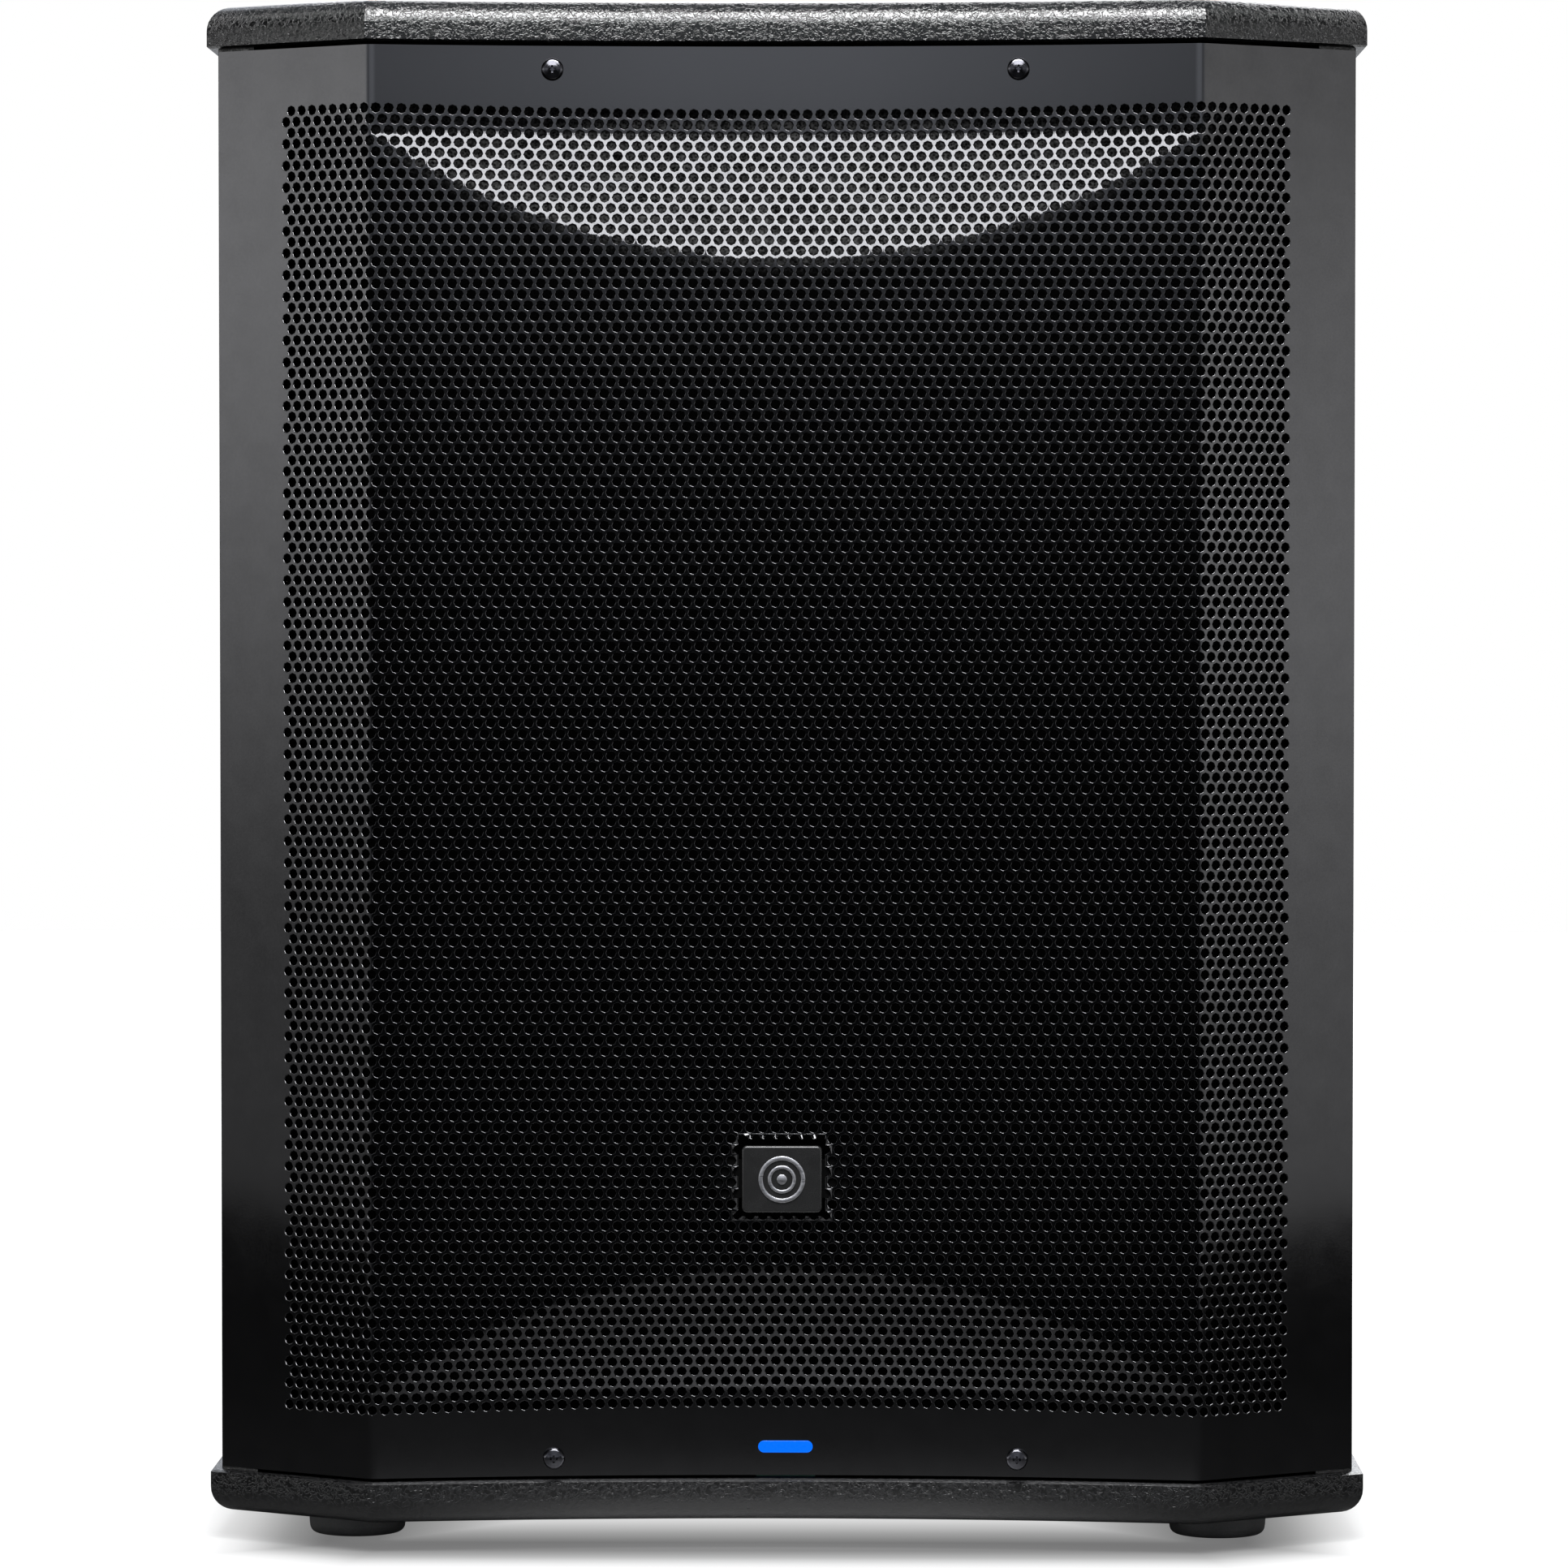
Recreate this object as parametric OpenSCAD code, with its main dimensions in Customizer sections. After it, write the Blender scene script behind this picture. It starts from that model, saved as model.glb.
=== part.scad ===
// Powered eighteen-inch bass cabinet for a public-address system.
// Millimetres. The origin is under the middle of the cabinet, on the floor:
// +X is to the right of someone facing the grille, -Y is the front, +Z is up.

/* [Cabinet] */
// Overall width across the top and bottom panels
body_w = 550; // [540:1:570]
// Overall depth of the top and bottom panels
body_d = 640; // [600:10:700]
// Overall height, from the floor to the top
body_h = 730; // [710:1:760]
// Thickness of the top and bottom panels
cap_t = 20; // [18:1:22]
// Radius along the outer edges of the top and bottom panels
cap_r = 12; // [6:1:14]
// Thickness of the side, back and inner panels
wall_t = 18; // [15:1:18]
// How far the top and bottom panels stand out past the sides and the grille
cap_lip = 5; // [4:1:6]
// Height of the rubber feet
foot_h = 13; // [10:1:16]
// Diameter of the rubber feet
foot_d = 47; // [40:1:50]

/* [Grille] */
// Thickness of the steel sheet
sheet_t = 1.5; // [1.2:0.1:2]
// Half the width of the front face, between the folds
fold_x = 195; // [190:1:200]
// Angle of the side wings to the front face
wing_angle = 30; // [25:1:32]
// Angle of the pressed crescents to the front face
crescent_angle = 16; // [15:0.5:18]
// Radius of the arc that ends each crescent
crescent_r = 348; // [340:1:356]
// Height of each crescent at its middle, from its arc to its crease
crescent_h = 58.6; // [56:0.2:62]
// Gap between the grille and the panels above and below it
grille_gap = 1.5; // [1:0.5:2]

/* [Driver] */
// Height of the driver's middle
driver_z = 462; // [455:1:468]
// Outer radius of the driver's frame
frame_r = 230; // [226:1:232]
// Radius of the driver's hole in the baffle
cutout_r = 212; // [211:1:213]
// Outer radius of the voice coil's former
former_r = 50.9; // [50.5:0.1:51.2]

/* [Amplifier] */
// Width of the amplifier's panel
amp_w = 298; // [290:1:306]
// Height of the amplifier's panel
amp_h = 378; // [370:1:386]
// Height of the middle of the amplifier's panel
amp_z = 430; // [420:1:440]
// Number of fins on the heat sink
fin_count = 24; // [16:1:28]

/* [Hidden] */
$fn = 64;
fine = 180;

// Levels and faces of the cabinet
z_lo = foot_h + cap_t;
z_hi = body_h - cap_t;
front_y = -body_d / 2;
rear_y = body_d / 2;
side_x = body_w / 2 - cap_lip;
inner_x = side_x - wall_t;
back_out = rear_y - 6;
back_in = back_out - wall_t;

// Grille: the fold plane, the wings and the pressed crescents
grille_y = front_y + cap_lip;
grille_lo = z_lo + grille_gap;
grille_hi = z_hi - grille_gap;
grille_end_x = side_x - 0.5;
hollow = crescent_h * tan(crescent_angle);
cap_fold_x = fold_x + cap_lip * tan(wing_angle / 2);
cap_side_x = body_w / 2;
cap_hollow = hollow - 0.8;
cap_arc_r = (cap_fold_x^2 + cap_hollow^2) / (2 * cap_hollow);
strip_r = (fold_x^2 + hollow^2) / (2 * hollow);
crescent_mid_z = 371;
arc_rise = 236.8;
crescent_axis_z = crescent_mid_z + arc_rise + crescent_r;
cutter_front = 20;
cutter_back = 25;
screw_x = 109.3;
screw_z = [43, 697.5];
screw_y = grille_y + 11;
badge_x = -1.4;
badge_z = 176.5;
badge_w = 37.6;
badge_h = 31.4;
badge_y = grille_y - 2;
led_z = 48;
led_y = grille_y + hollow;

// Baffle, port and braces
baffle_y = -232;
port_top = z_lo + 70;
shelf_end = 80;
brace_y = 140;

// Feet, handles and pole socket
foot_x = 207;
foot_y = [-247, 250];
handle_y = 10;
handle_z = 440;
handle_w = 186;
handle_h = 96;
handle_depth = 58;
grip_r = 12;
socket_plate = 120;
socket_bore_r = 8.75;
socket_depth = 74;

// Driver, along its own axis from the baffle's front face, forward positive
flange_t = 8;
bolt_r = 220;
bolt_n = 8;
basket_back = -124;
plate_back = -136;
magnet_back = -160;
yoke_back = -172;
spider_z = -90;
neck_z = -76;
cone_edge = 186;
cone_rim_z = 1;

// Amplifier: faces of its panel and the places of its fittings
panel_in = back_in;
panel_out = panel_in + 3;
amp_lo = amp_z - amp_h / 2;
amp_hi = amp_z + amp_h / 2;
jack_x = [105, 55];
input_z = 350;
output_z = 290;
knob_x = 5;
knob_z = 345;
button_x = [-18, -42];
button_z = 345;
inlet_x = -95;
inlet_z = 290;
rocker_z = 350;
lights_x = [105, 85, 65, 45];
lights_z = 398;
housing_x = 134;
housing_lo = amp_lo + 15;
housing_hi = amp_hi - 15;
housing_y = 186;
board_y = 262;
sink_lo = amp_lo + 191;
sink_hi = amp_hi - 21;

// Route of the inner speaker cable, from the amplifier to the driver's tags
cable_d = 7;
cable_route = [[-60, 186, 520], [-60, 172, 520], [-62, 160, 517], [-66, 148, 510],
    [-74, 120, 494], [-86, 84, 478], [-102, 44, 464], [-118, 2, 456], [-130, -40, 453],
    [-136, -76, 456], [-138, -98, 460], [-138, -112, 462], [-138, -124, 462]];

// The two ends of a span set at a value
function span(at, ends) = [at + ends[0], at + ends[1]];

// Where the grille's wing is at x, set back from its outer face by an inset
function wing_y(x, inset) = grille_y + (x - fold_x) * tan(wing_angle) + inset / cos(wing_angle);

// ---- Helpers ----

// Cuboid between two values on each axis
module block(x, y, z) {
    translate([x[0], y[0], z[0]]) cube([x[1] - x[0], y[1] - y[0], z[1] - z[0]]);
}

// Cylinder along Y at [x, z], between two values of y
module rod_y(r, y, at) {
    translate([at[0], y[0], at[1]]) rotate([-90, 0, 0]) cylinder(r = r, h = y[1] - y[0]);
}

// Cylinder along Z at [x, y], between two values of z
module rod_z(r, z, at) {
    translate([at[0], at[1], z[0]]) cylinder(r = r, h = z[1] - z[0]);
}

// Flat rectangle with round corners, centred
module round_rect(w, h, r) {
    square([w - 2 * r, h], center = true);
    square([w, h - 2 * r], center = true);
    for (x = [-1, 1], y = [-1, 1])
        translate([x * (w / 2 - r), y * (h / 2 - r)]) circle(r = r);
}

// Round-cornered plate that faces +Y, centred at [x, z]
module plate_y(w, h, r, y, at) {
    translate([at[0], y[1], at[1]]) rotate([90, 0, 0])
        linear_extrude(y[1] - y[0]) round_rect(w, h, r);
}

// Both children on the right and their mirror image on the left
module both_sides() {
    children();
    mirror([1, 0, 0]) children();
}

// Pan-head screw that enters along +Z, its head's seat at z = 0
module pan_screw(d, length, head_d, head_h) {
    difference() {
        intersection() {
            translate([0, 0, -head_h]) cylinder(d = head_d, h = head_h);
            translate([0, 0, head_d * 0.72 - head_h]) sphere(d = head_d * 1.44);
        }
        for (a = [0, 90]) rotate([0, 0, a])
            translate([-head_d / 4, -0.6, -head_h - 0.1]) cube([head_d / 2, 1.2, 1.6]);
    }
    cylinder(d = d, h = length);
}

// ---- Cabinet ----

// Plan of the top and bottom panels: angled front corners and a hollow front edge
module cap_plan() {
    wing_end = front_y + (cap_side_x - cap_fold_x) * tan(wing_angle);
    difference() {
        polygon([[-cap_side_x, rear_y], [-cap_side_x, wing_end], [-cap_fold_x, front_y],
            [cap_fold_x, front_y], [cap_side_x, wing_end], [cap_side_x, rear_y]]);
        translate([0, front_y + cap_hollow - cap_arc_r]) circle(r = cap_arc_r, $fn = fine);
    }
}

// Section across a panel whose upper corners are round
module cap_section(w) {
    translate([-w / 2, 0]) square([w, cap_t - cap_r]);
    translate([cap_r - w / 2, 0]) square([w - 2 * cap_r, cap_t]);
    for (x = [-1, 1]) translate([x * (w / 2 - cap_r), cap_t - cap_r]) circle(r = cap_r);
}

// Panel with its inner face at z = 0 and its rounded face upward
module cap_plate() {
    intersection() {
        linear_extrude(cap_t) cap_plan();
        rotate([90, 0, 0]) linear_extrude(body_d + 2, center = true) cap_section(body_w);
        rotate([90, 0, 90]) linear_extrude(body_w + 2, center = true) cap_section(body_d);
    }
}

module top_panel() {
    color("#1b1b1c") difference() {
        translate([0, 0, z_hi]) cap_plate();
        block([-1, 1] * (socket_plate / 2 + 0.3), [-1, 1] * (socket_plate / 2 + 0.3),
            [body_h - 3, body_h + 1]);
        rod_z(16.3, [z_hi - 1, body_h], [0, 0]);
        socket_screws(0.1);
        bracket_screws(0.1);
    }
}

module bottom_panel() {
    color("#1b1b1c") difference() {
        translate([0, 0, z_lo]) mirror([0, 0, 1]) cap_plate();
        foot_screws(0.1);
        bracket_screws(0.1);
    }
}

// Side panel on the right: its front edge is cut to the grille's wing
module side_panel() {
    inset = sheet_t + 0.3;
    difference() {
        translate([0, 0, z_lo]) linear_extrude(z_hi - z_lo)
            polygon([[inner_x, wing_y(inner_x, inset)], [side_x, wing_y(side_x, inset)],
                [side_x, back_out], [inner_x, back_out]]);
        handle_outline(handle_w + 2, handle_h + 2, 13, [inner_x - 1, side_x + 1]);
        handle_screws(0.1);
    }
}

module side_panel_left() { color("#1d1d1e") mirror([1, 0, 0]) side_panel(); }
module side_panel_right() { color("#1d1d1e") side_panel(); }

module back_panel() {
    color("#1d1d1e") difference() {
        block([-inner_x, inner_x], [back_in, back_out], [z_lo, z_hi]);
        plate_y(amp_w + 2, amp_h + 2, 6, [back_in - 1, back_out + 1], [0, amp_z]);
    }
}

module amp_frame() {
    color("burlywood") difference() {
        plate_y(amp_w + 38, amp_h + 38, 12, [back_in - wall_t, back_in], [0, amp_z]);
        plate_y(2 * housing_x + 2, housing_hi - housing_lo + 2, 4,
            [back_in - wall_t - 1, back_in + 1], [0, amp_z]);
        amp_screws(0.1);
    }
}

module front_baffle() {
    color("burlywood") difference() {
        block([-inner_x, inner_x], [baffle_y, baffle_y + wall_t], [port_top, z_hi]);
        rod_y(cutout_r, [baffle_y - 1, baffle_y + wall_t + 1], [0, driver_z], $fn = fine);
        at_bolts() translate([0, 0, -wall_t - 1]) cylinder(r = 4, h = wall_t + 2);
    }
}

module port_shelf() {
    color("burlywood")
        block([-inner_x, inner_x], [baffle_y + wall_t, shelf_end], [port_top, port_top + wall_t]);
}

module window_brace() {
    color("burlywood") difference() {
        block([-inner_x, inner_x], [brace_y, brace_y + wall_t], [z_lo, z_hi]);
        plate_y(340, 450, 40, [brace_y - 1, brace_y + wall_t + 1], [0, 415]);
        plate_y(400, 60, 20, [brace_y - 1, brace_y + wall_t + 1], [0, 80]);
    }
}

module damping_lining() {
    color("gainsboro") both_sides() difference() {
        block([inner_x - 20, inner_x - 0.2], [-205, brace_y - 5], [130, 700]);
        block([inner_x - 21, inner_x + 1], [handle_y - 108, handle_y + 108],
            [handle_z - 62, handle_z + 62]);
    }
}

// ---- Grille ----

// Solid behind the grille's face, before the crescents are pressed into it
module grille_prism(inset, end_x, back) {
    corner = fold_x - inset * tan(wing_angle / 2);
    translate([0, 0, grille_lo]) linear_extrude(grille_hi - grille_lo)
        polygon([[-end_x, back], [-end_x, wing_y(end_x, inset)], [-corner, grille_y + inset],
            [corner, grille_y + inset], [end_x, wing_y(end_x, inset)], [end_x, back]]);
}

// What the press removes at one end: a cone makes the crescent, and a wide
// cylinder that meets it at the crease makes the hollow strip beyond
module pressed_hollow(inset) {
    slope = 1 / tan(crescent_angle);
    translate([0, inset, 0]) intersection() {
        translate([0, grille_y - cutter_front, crescent_axis_z]) rotate([-90, 0, 0])
            cylinder(r1 = crescent_r + cutter_front * slope, r2 = crescent_r - cutter_back * slope,
                h = cutter_front + cutter_back, $fn = fine);
        translate([0, grille_y + hollow - strip_r, crescent_mid_z])
            cylinder(r = strip_r, h = body_h, $fn = fine);
    }
}

// The grille's surface as a solid, set back from its outer face by an inset
module grille_form(inset, end_x, back) {
    difference() {
        grille_prism(inset, end_x, back);
        pressed_hollow(inset);
        translate([0, 0, 2 * crescent_mid_z]) mirror([0, 0, 1]) pressed_hollow(inset);
    }
}

module badge_window(w, h, r) {
    plate_y(w, h, r, [grille_y - 5, grille_y + 40], [badge_x, badge_z]);
}

module grille() {
    back = wing_y(grille_end_x, sheet_t);
    color("#1f1f21") difference() {
        grille_form(0, grille_end_x, back);
        grille_form(sheet_t, grille_end_x + 5, back + 5);
        badge_window(43.8, 39.5, 5);
        plate_y(26.6, 6.6, 3.2, [led_y - 5, led_y + 5], [0, led_z]);
        for (x = [-1, 1], z = screw_z) rod_y(2.8, [grille_y, grille_y + 30], [x * screw_x, z]);
    }
}

module grille_foam() {
    gap = sheet_t + 0.2;
    foam_t = 6;
    color("#3a3a3c") difference() {
        intersection() {
            grille_form(gap, grille_end_x, wing_y(245, gap + foam_t));
            block([-245, 245], [front_y, 0], [60, 684]);
        }
        grille_form(gap + foam_t, grille_end_x + 5, 0);
        badge_window(66, 44, 3);
    }
}

// Steel angle behind each grille screw, in the upper right corner
module grille_bracket(z) {
    up = z > crescent_mid_z;
    base = up ? z_hi : z_lo;
    y = screw_y + 3.4;
    difference() {
        union() {
            block(span(screw_x, [-12, 12]), [y, y + 2], span(base, up ? [-24, 0] : [0, 24]));
            block(span(screw_x, [-12, 12]), [y, y + 30], span(base, up ? [-2, 0] : [0, 2]));
        }
        rod_y(2.6, [y - 1, y + 3], [screw_x, z]);
        bracket_screws(0.1);
    }
}

module grille_brackets() {
    color("silver") both_sides() for (z = screw_z) grille_bracket(z);
}

module grille_screws() {
    color("#222222") for (x = [-1, 1], z = screw_z)
        translate([x * screw_x, screw_y, z]) rotate([-90, 0, 0]) pan_screw(5, 18, 10.4, 3.4);
}

module badge() {
    color("#161616") {
        plate_y(badge_w, badge_h, 2.4, [badge_y, badge_y + 3.7], [badge_x, badge_z]);
    }
}

// Plain ring and dot, like the front of a loudspeaker
module badge_emblem() {
    color("silver") translate([badge_x, badge_y, badge_z]) rotate([90, 0, 0]) {
        difference() {
            cylinder(r = 11, h = 0.6);
            translate([0, 0, -1]) cylinder(r = 9, h = 3);
        }
        difference() {
            cylinder(r = 6.6, h = 0.6);
            translate([0, 0, -1]) cylinder(r = 5, h = 3);
        }
        cylinder(r = 2.4, h = 0.6);
    }
}

module badge_bracket() {
    color("silver") plate_y(62, 18, 2, [badge_y + 3.7, badge_y + 5.2], [badge_x, badge_z]);
}

module led_lens() {
    color("#0a6cff") {
        plate_y(25.8, 5.7, 2.8, [led_y - 0.7, led_y + sheet_t + 0.2], [0, led_z]);
        plate_y(34, 12, 2, [led_y + sheet_t + 0.2, led_y + 4], [0, led_z]);
    }
}

module led_board() {
    y = led_y + 4;
    color("darkgreen") {
        plate_y(40, 14, 1, [y + 1.2, y + 2.8], [0, led_z]);
        for (x = [-9, -3, 3, 9]) block([x - 1.6, x + 1.6], [y, y + 1.2], [led_z - 1.4, led_z + 1.4]);
        block([-14, 14], [y + 2.8, y + 8], [z_lo, led_z + 4]);
    }
}

// ---- Fittings ----

// Countersunk wood screw that enters along +Z, its flat head's face at z = 0
module wood_screw(clear) {
    cylinder(r1 = 4.4 + clear, r2 = 2 + clear, h = 2.6);
    cylinder(r = 2 + clear, h = 15 + clear);
}

module foot_screws(clear) {
    for (x = [-1, 1], y = foot_y) translate([x * foot_x, y, foot_h - 5]) wood_screw(clear);
}

module socket_screws(clear) {
    for (x = [-1, 1], y = [-1, 1])
        translate([x * 48, y * 48, body_h]) mirror([0, 0, 1]) wood_screw(clear);
}

module handle_screws(clear) {
    for (y = [-1, 1], z = [-1, 1])
        translate([side_x + 2, handle_y + y * (handle_w / 2 + 5), handle_z + z * (handle_h / 2 + 5)])
            rotate([0, -90, 0]) wood_screw(clear);
}

module bracket_screws(clear) {
    y = screw_y + 24;
    both_sides() {
        translate([screw_x, y, z_hi - 2]) wood_screw(clear);
        translate([screw_x, y, z_lo + 2]) mirror([0, 0, 1]) wood_screw(clear);
    }
}

module wood_screws() {
    color("#2a2a2a") {
        foot_screws(0);
        socket_screws(0);
        both_sides() handle_screws(0);
        bracket_screws(0);
    }
}

// Steel plate with a threaded tube for a satellite speaker's pole
module pole_socket() {
    color("#202021") difference() {
        union() {
            translate([0, 0, body_h - 3]) linear_extrude(3) round_rect(socket_plate, socket_plate, 8);
            rod_z(16, [body_h - socket_depth - 6, body_h - 3], [0, 0]);
        }
        rod_z(socket_bore_r, [body_h - socket_depth, body_h + 1], [0, 0]);
        socket_screws(0.1);
    }
}

// Rubber foot with a recessed screw, right and front or rear
module foot(y) {
    color("#262626") difference() {
        union() {
            translate([foot_x, y, 0]) cylinder(d1 = foot_d - 3, d2 = foot_d, h = 3);
            rod_z(foot_d / 2, [3, foot_h], [foot_x, y]);
        }
        rod_z(6, [-1, foot_h - 5], [foot_x, y]);
        foot_screws(0.1);
    }
}

module foot_front_left() { mirror([1, 0, 0]) foot(foot_y[0]); }
module foot_front_right() { foot(foot_y[0]); }
module foot_rear_left() { mirror([1, 0, 0]) foot(foot_y[1]); }
module foot_rear_right() { foot(foot_y[1]); }

// Round-cornered block through the right side, centred on the handle
module handle_outline(w, h, r, x) {
    translate([x[0], handle_y, handle_z]) rotate([90, 0, 90])
        linear_extrude(x[1] - x[0]) round_rect(w, h, r);
}

module handle_cup() {
    color("#1a1a1a") difference() {
        union() {
            handle_outline(handle_w + 24, handle_h + 24, 16, [side_x, side_x + 2]);
            handle_outline(handle_w, handle_h, 12, [side_x - handle_depth, side_x + 1]);
        }
        handle_outline(handle_w - 4, handle_h - 4, 10, [side_x - handle_depth + 2, side_x + 3]);
        handle_screws(0.1);
    }
}

module handle_cup_left() { mirror([1, 0, 0]) handle_cup(); }
module handle_cup_right() { handle_cup(); }

module handle_grips() {
    reach = handle_w / 2 - 2;
    color("#2c2c2c") both_sides()
        translate([side_x - 14, handle_y - reach, handle_z + 22]) rotate([-90, 0, 0])
            cylinder(r = grip_r, h = 2 * reach);
}

// ---- Driver ----

// Puts a shape drawn along the driver's axis into the cabinet
module on_driver() {
    translate([0, baffle_y, driver_z]) rotate([90, 0, 0]) children();
}

module at_bolts() {
    on_driver() for (i = [0 : bolt_n - 1])
        rotate([0, 0, (i + 0.5) * 360 / bolt_n]) translate([bolt_r, 0, 0]) children();
}

module ring(r_in, r_out, z) {
    translate([0, 0, z[0]]) difference() {
        cylinder(r = r_out, h = z[1] - z[0], $fn = fine);
        translate([0, 0, -1]) cylinder(r = r_in, h = z[1] - z[0] + 2, $fn = fine);
    }
}

// Conical wall of the frame, with a window between each pair of spokes
module basket_wall() {
    difference() {
        rotate_extrude($fn = fine)
            polygon([[202, 2], [211, 2], [211, 0], [113, basket_back + 6],
                [113, basket_back + 4], [105, basket_back + 4], [105, basket_back + 6], [202, 0]]);
        for (i = [0 : bolt_n - 1]) rotate([0, 0, (i + 0.5) * 360 / bolt_n])
            translate([165, 0, -52]) cube([110, 72, 64], center = true);
    }
}

module woofer_basket() {
    color("#333436") difference() {
        on_driver() {
            ring(200, frame_r, [0, flange_t - 3]);
            ring(215, frame_r, [flange_t - 3, flange_t]);
            basket_wall();
            ring(108, 131, [spider_z - 4, spider_z]);
            ring(57, 115, [basket_back, basket_back + 6]);
        }
        at_bolts() translate([0, 0, -1]) cylinder(r = 3.3, h = flange_t + 2);
    }
}

// Two half-round rolls of treated cloth
module surround() {
    z = flange_t - 3;
    color("#1c1c1e") on_driver() rotate_extrude($fn = fine) {
        translate([cone_edge - 2, z - 1.2]) square([6, 1.2]);
        translate([206, z]) square([8, 1.2]);
        translate([190, z - 1.2]) square([2.2, 2.4]);
        for (r = [194.9, 202]) translate([r, z]) difference() {
            circle(r = 4.2);
            circle(r = 3);
            translate([-6, -10]) square([12, 10]);
        }
    }
}

module cone() {
    color("#29292b") on_driver() rotate_extrude($fn = fine)
        polygon([[former_r, neck_z], [cone_edge, cone_rim_z - 1.5], [190, cone_rim_z],
            [190, cone_rim_z + 2.6], [cone_edge - 4, cone_rim_z + 1.8], [former_r, neck_z + 3]]);
}

// Domed cap over the cone's neck
module dust_cap() {
    rim = 70;
    rise = 18;
    ball = (rim^2 + rise^2) / (2 * rise);
    base = neck_z + 3 + (rim - former_r) * 0.55;
    color("#232325") on_driver() intersection() {
        translate([0, 0, base + rise - ball]) difference() {
            sphere(r = ball, $fn = fine);
            sphere(r = ball - 1.2, $fn = fine);
        }
        translate([0, 0, base + 0.5]) cylinder(r = rim + 2, h = rise + 5);
    }
}

module coil_former() {
    color("#b9a36a") on_driver() ring(former_r - 0.7, former_r, [-143, -70]);
}

module voice_coil() {
    color("#b87333") on_driver() ring(former_r, former_r + 1.5, [-142, -118]);
}

// Corrugated cloth disc that centres the coil
module spider() {
    thick = 1.2;
    inner = former_r + 0.1;
    waves = 6;
    outer = 107;
    function rise(i) = i % 2 == 0 ? 0 : 3;
    color("#c8a75a") on_driver() rotate_extrude($fn = fine)
        polygon(concat([for (i = [0 : 2 * waves])
            [inner + (outer - inner) * i / (2 * waves), spider_z + rise(i)]],
            [[126, spider_z], [126, spider_z + thick]],
            [for (i = [2 * waves : -1 : 0])
                [inner + (outer - inner) * i / (2 * waves), spider_z + rise(i) + thick]]));
}

module top_plate() { color("silver") on_driver() ring(53.6, 100, [plate_back, basket_back]); }
module magnet() { color("#3b3b40") on_driver() ring(62, 110, [magnet_back, plate_back]); }

module pole_piece() {
    color("silver") on_driver() difference() {
        union() {
            translate([0, 0, yoke_back]) cylinder(r = 98, h = magnet_back - yoke_back, $fn = fine);
            translate([0, 0, magnet_back]) cylinder(r = 49.2, h = 38, $fn = fine);
        }
        translate([0, 0, yoke_back - 1]) cylinder(r = 15, h = 60);
    }
}

module woofer_terminals() {
    color("#a03020") on_driver() difference() {
        translate([-150, -12, -108]) cube([26, 24, 14]);
        rotate_extrude($fn = fine)
            polygon([[0, 0], [211.1, 0], [113.1, basket_back + 6], [0, basket_back + 6]]);
    }
}

module woofer_bolts() {
    color("#222222") at_bolts() difference() {
        union() {
            translate([0, 0, flange_t]) cylinder(r = 5, h = 6);
            translate([0, 0, -26]) cylinder(r = 3, h = flange_t + 26);
        }
        translate([0, 0, flange_t + 3]) cylinder(r = 2.5, h = 4, $fn = 6);
    }
}

module woofer_tee_nuts() {
    color("silver") at_bolts() difference() {
        union() {
            translate([0, 0, -wall_t]) cylinder(r = 3.9, h = 9);
            translate([0, 0, -wall_t - 1.5]) cylinder(r = 9.5, h = 1.5);
        }
        translate([0, 0, -wall_t - 2]) cylinder(r = 3.05, h = 12);
    }
}

// Ring of points round one place on a route, square to the way the route runs
function unit(v) = v / norm(v);
function heading(path, i) =
    unit(path[min(i + 1, len(path) - 1)] - path[max(i - 1, 0)]);
function ring_points(path, i, r, sides) =
    let (ahead = heading(path, i),
        across = unit(cross(ahead, [0, 0, 1])),
        upward = cross(across, ahead))
    [for (k = [0 : sides - 1])
        path[i] + r * (across * cos(360 * k / sides) + upward * sin(360 * k / sides))];

// Closed tube along a route
module tube(path, r, sides) {
    rings = len(path);
    points = [for (i = [0 : rings - 1]) each ring_points(path, i, r, sides)];
    faces = concat([[for (k = [0 : sides - 1]) k]],
        [for (i = [0 : rings - 2], k = [0 : sides - 1])
            [i * sides + k, (i + 1) * sides + k, (i + 1) * sides + (k + 1) % sides,
                i * sides + (k + 1) % sides]],
        [[for (k = [sides - 1 : -1 : 0]) (rings - 1) * sides + k]]);
    polyhedron(points = points, faces = faces);
}

module speaker_cable() { color("#3c3c3c") tube(cable_route, cable_d / 2, 8); }

// ---- Amplifier ----

module amp_screws(clear) {
    for (x = [-1, 1], z = [0 : 3])
        translate([x * (amp_w / 2 - 7), panel_out, amp_lo + 9 + z * (amp_h - 18) / 3])
            rotate([90, 0, 0]) {
                if (clear > 0) translate([0, 0, -1]) cylinder(r = 2 + clear, h = 17);
                else pan_screw(4, 14, 8, 2.4);
            }
}

module amp_panel() {
    color("#27282a") difference() {
        plate_y(amp_w, amp_h, 5, [panel_in, panel_out], [0, amp_z]);
        for (x = jack_x, z = [input_z, output_z])
            rod_y(12, [panel_in - 1, panel_out + 1], [x, z]);
        for (x = lights_x) rod_y(2.6, [panel_in - 1, panel_out + 1], [x, lights_z]);
        for (x = button_x) rod_y(4.5, [panel_in - 1, panel_out + 1], [x, button_z]);
        rod_y(4.6, [panel_in - 1, panel_out + 1], [knob_x, knob_z]);
        for (x = jack_x)
            block(span(x, [-5.2, 5.2]), [panel_in - 1, panel_out + 1], span(input_z, [10.9, 14.8]));
        plate_y(28, 21, 2, [panel_in - 1, panel_out + 1], [inlet_x, inlet_z]);
        plate_y(20, 27, 1, [panel_in - 1, panel_out + 1], [inlet_x, rocker_z]);
        amp_screws(0.1);
    }
}

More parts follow.
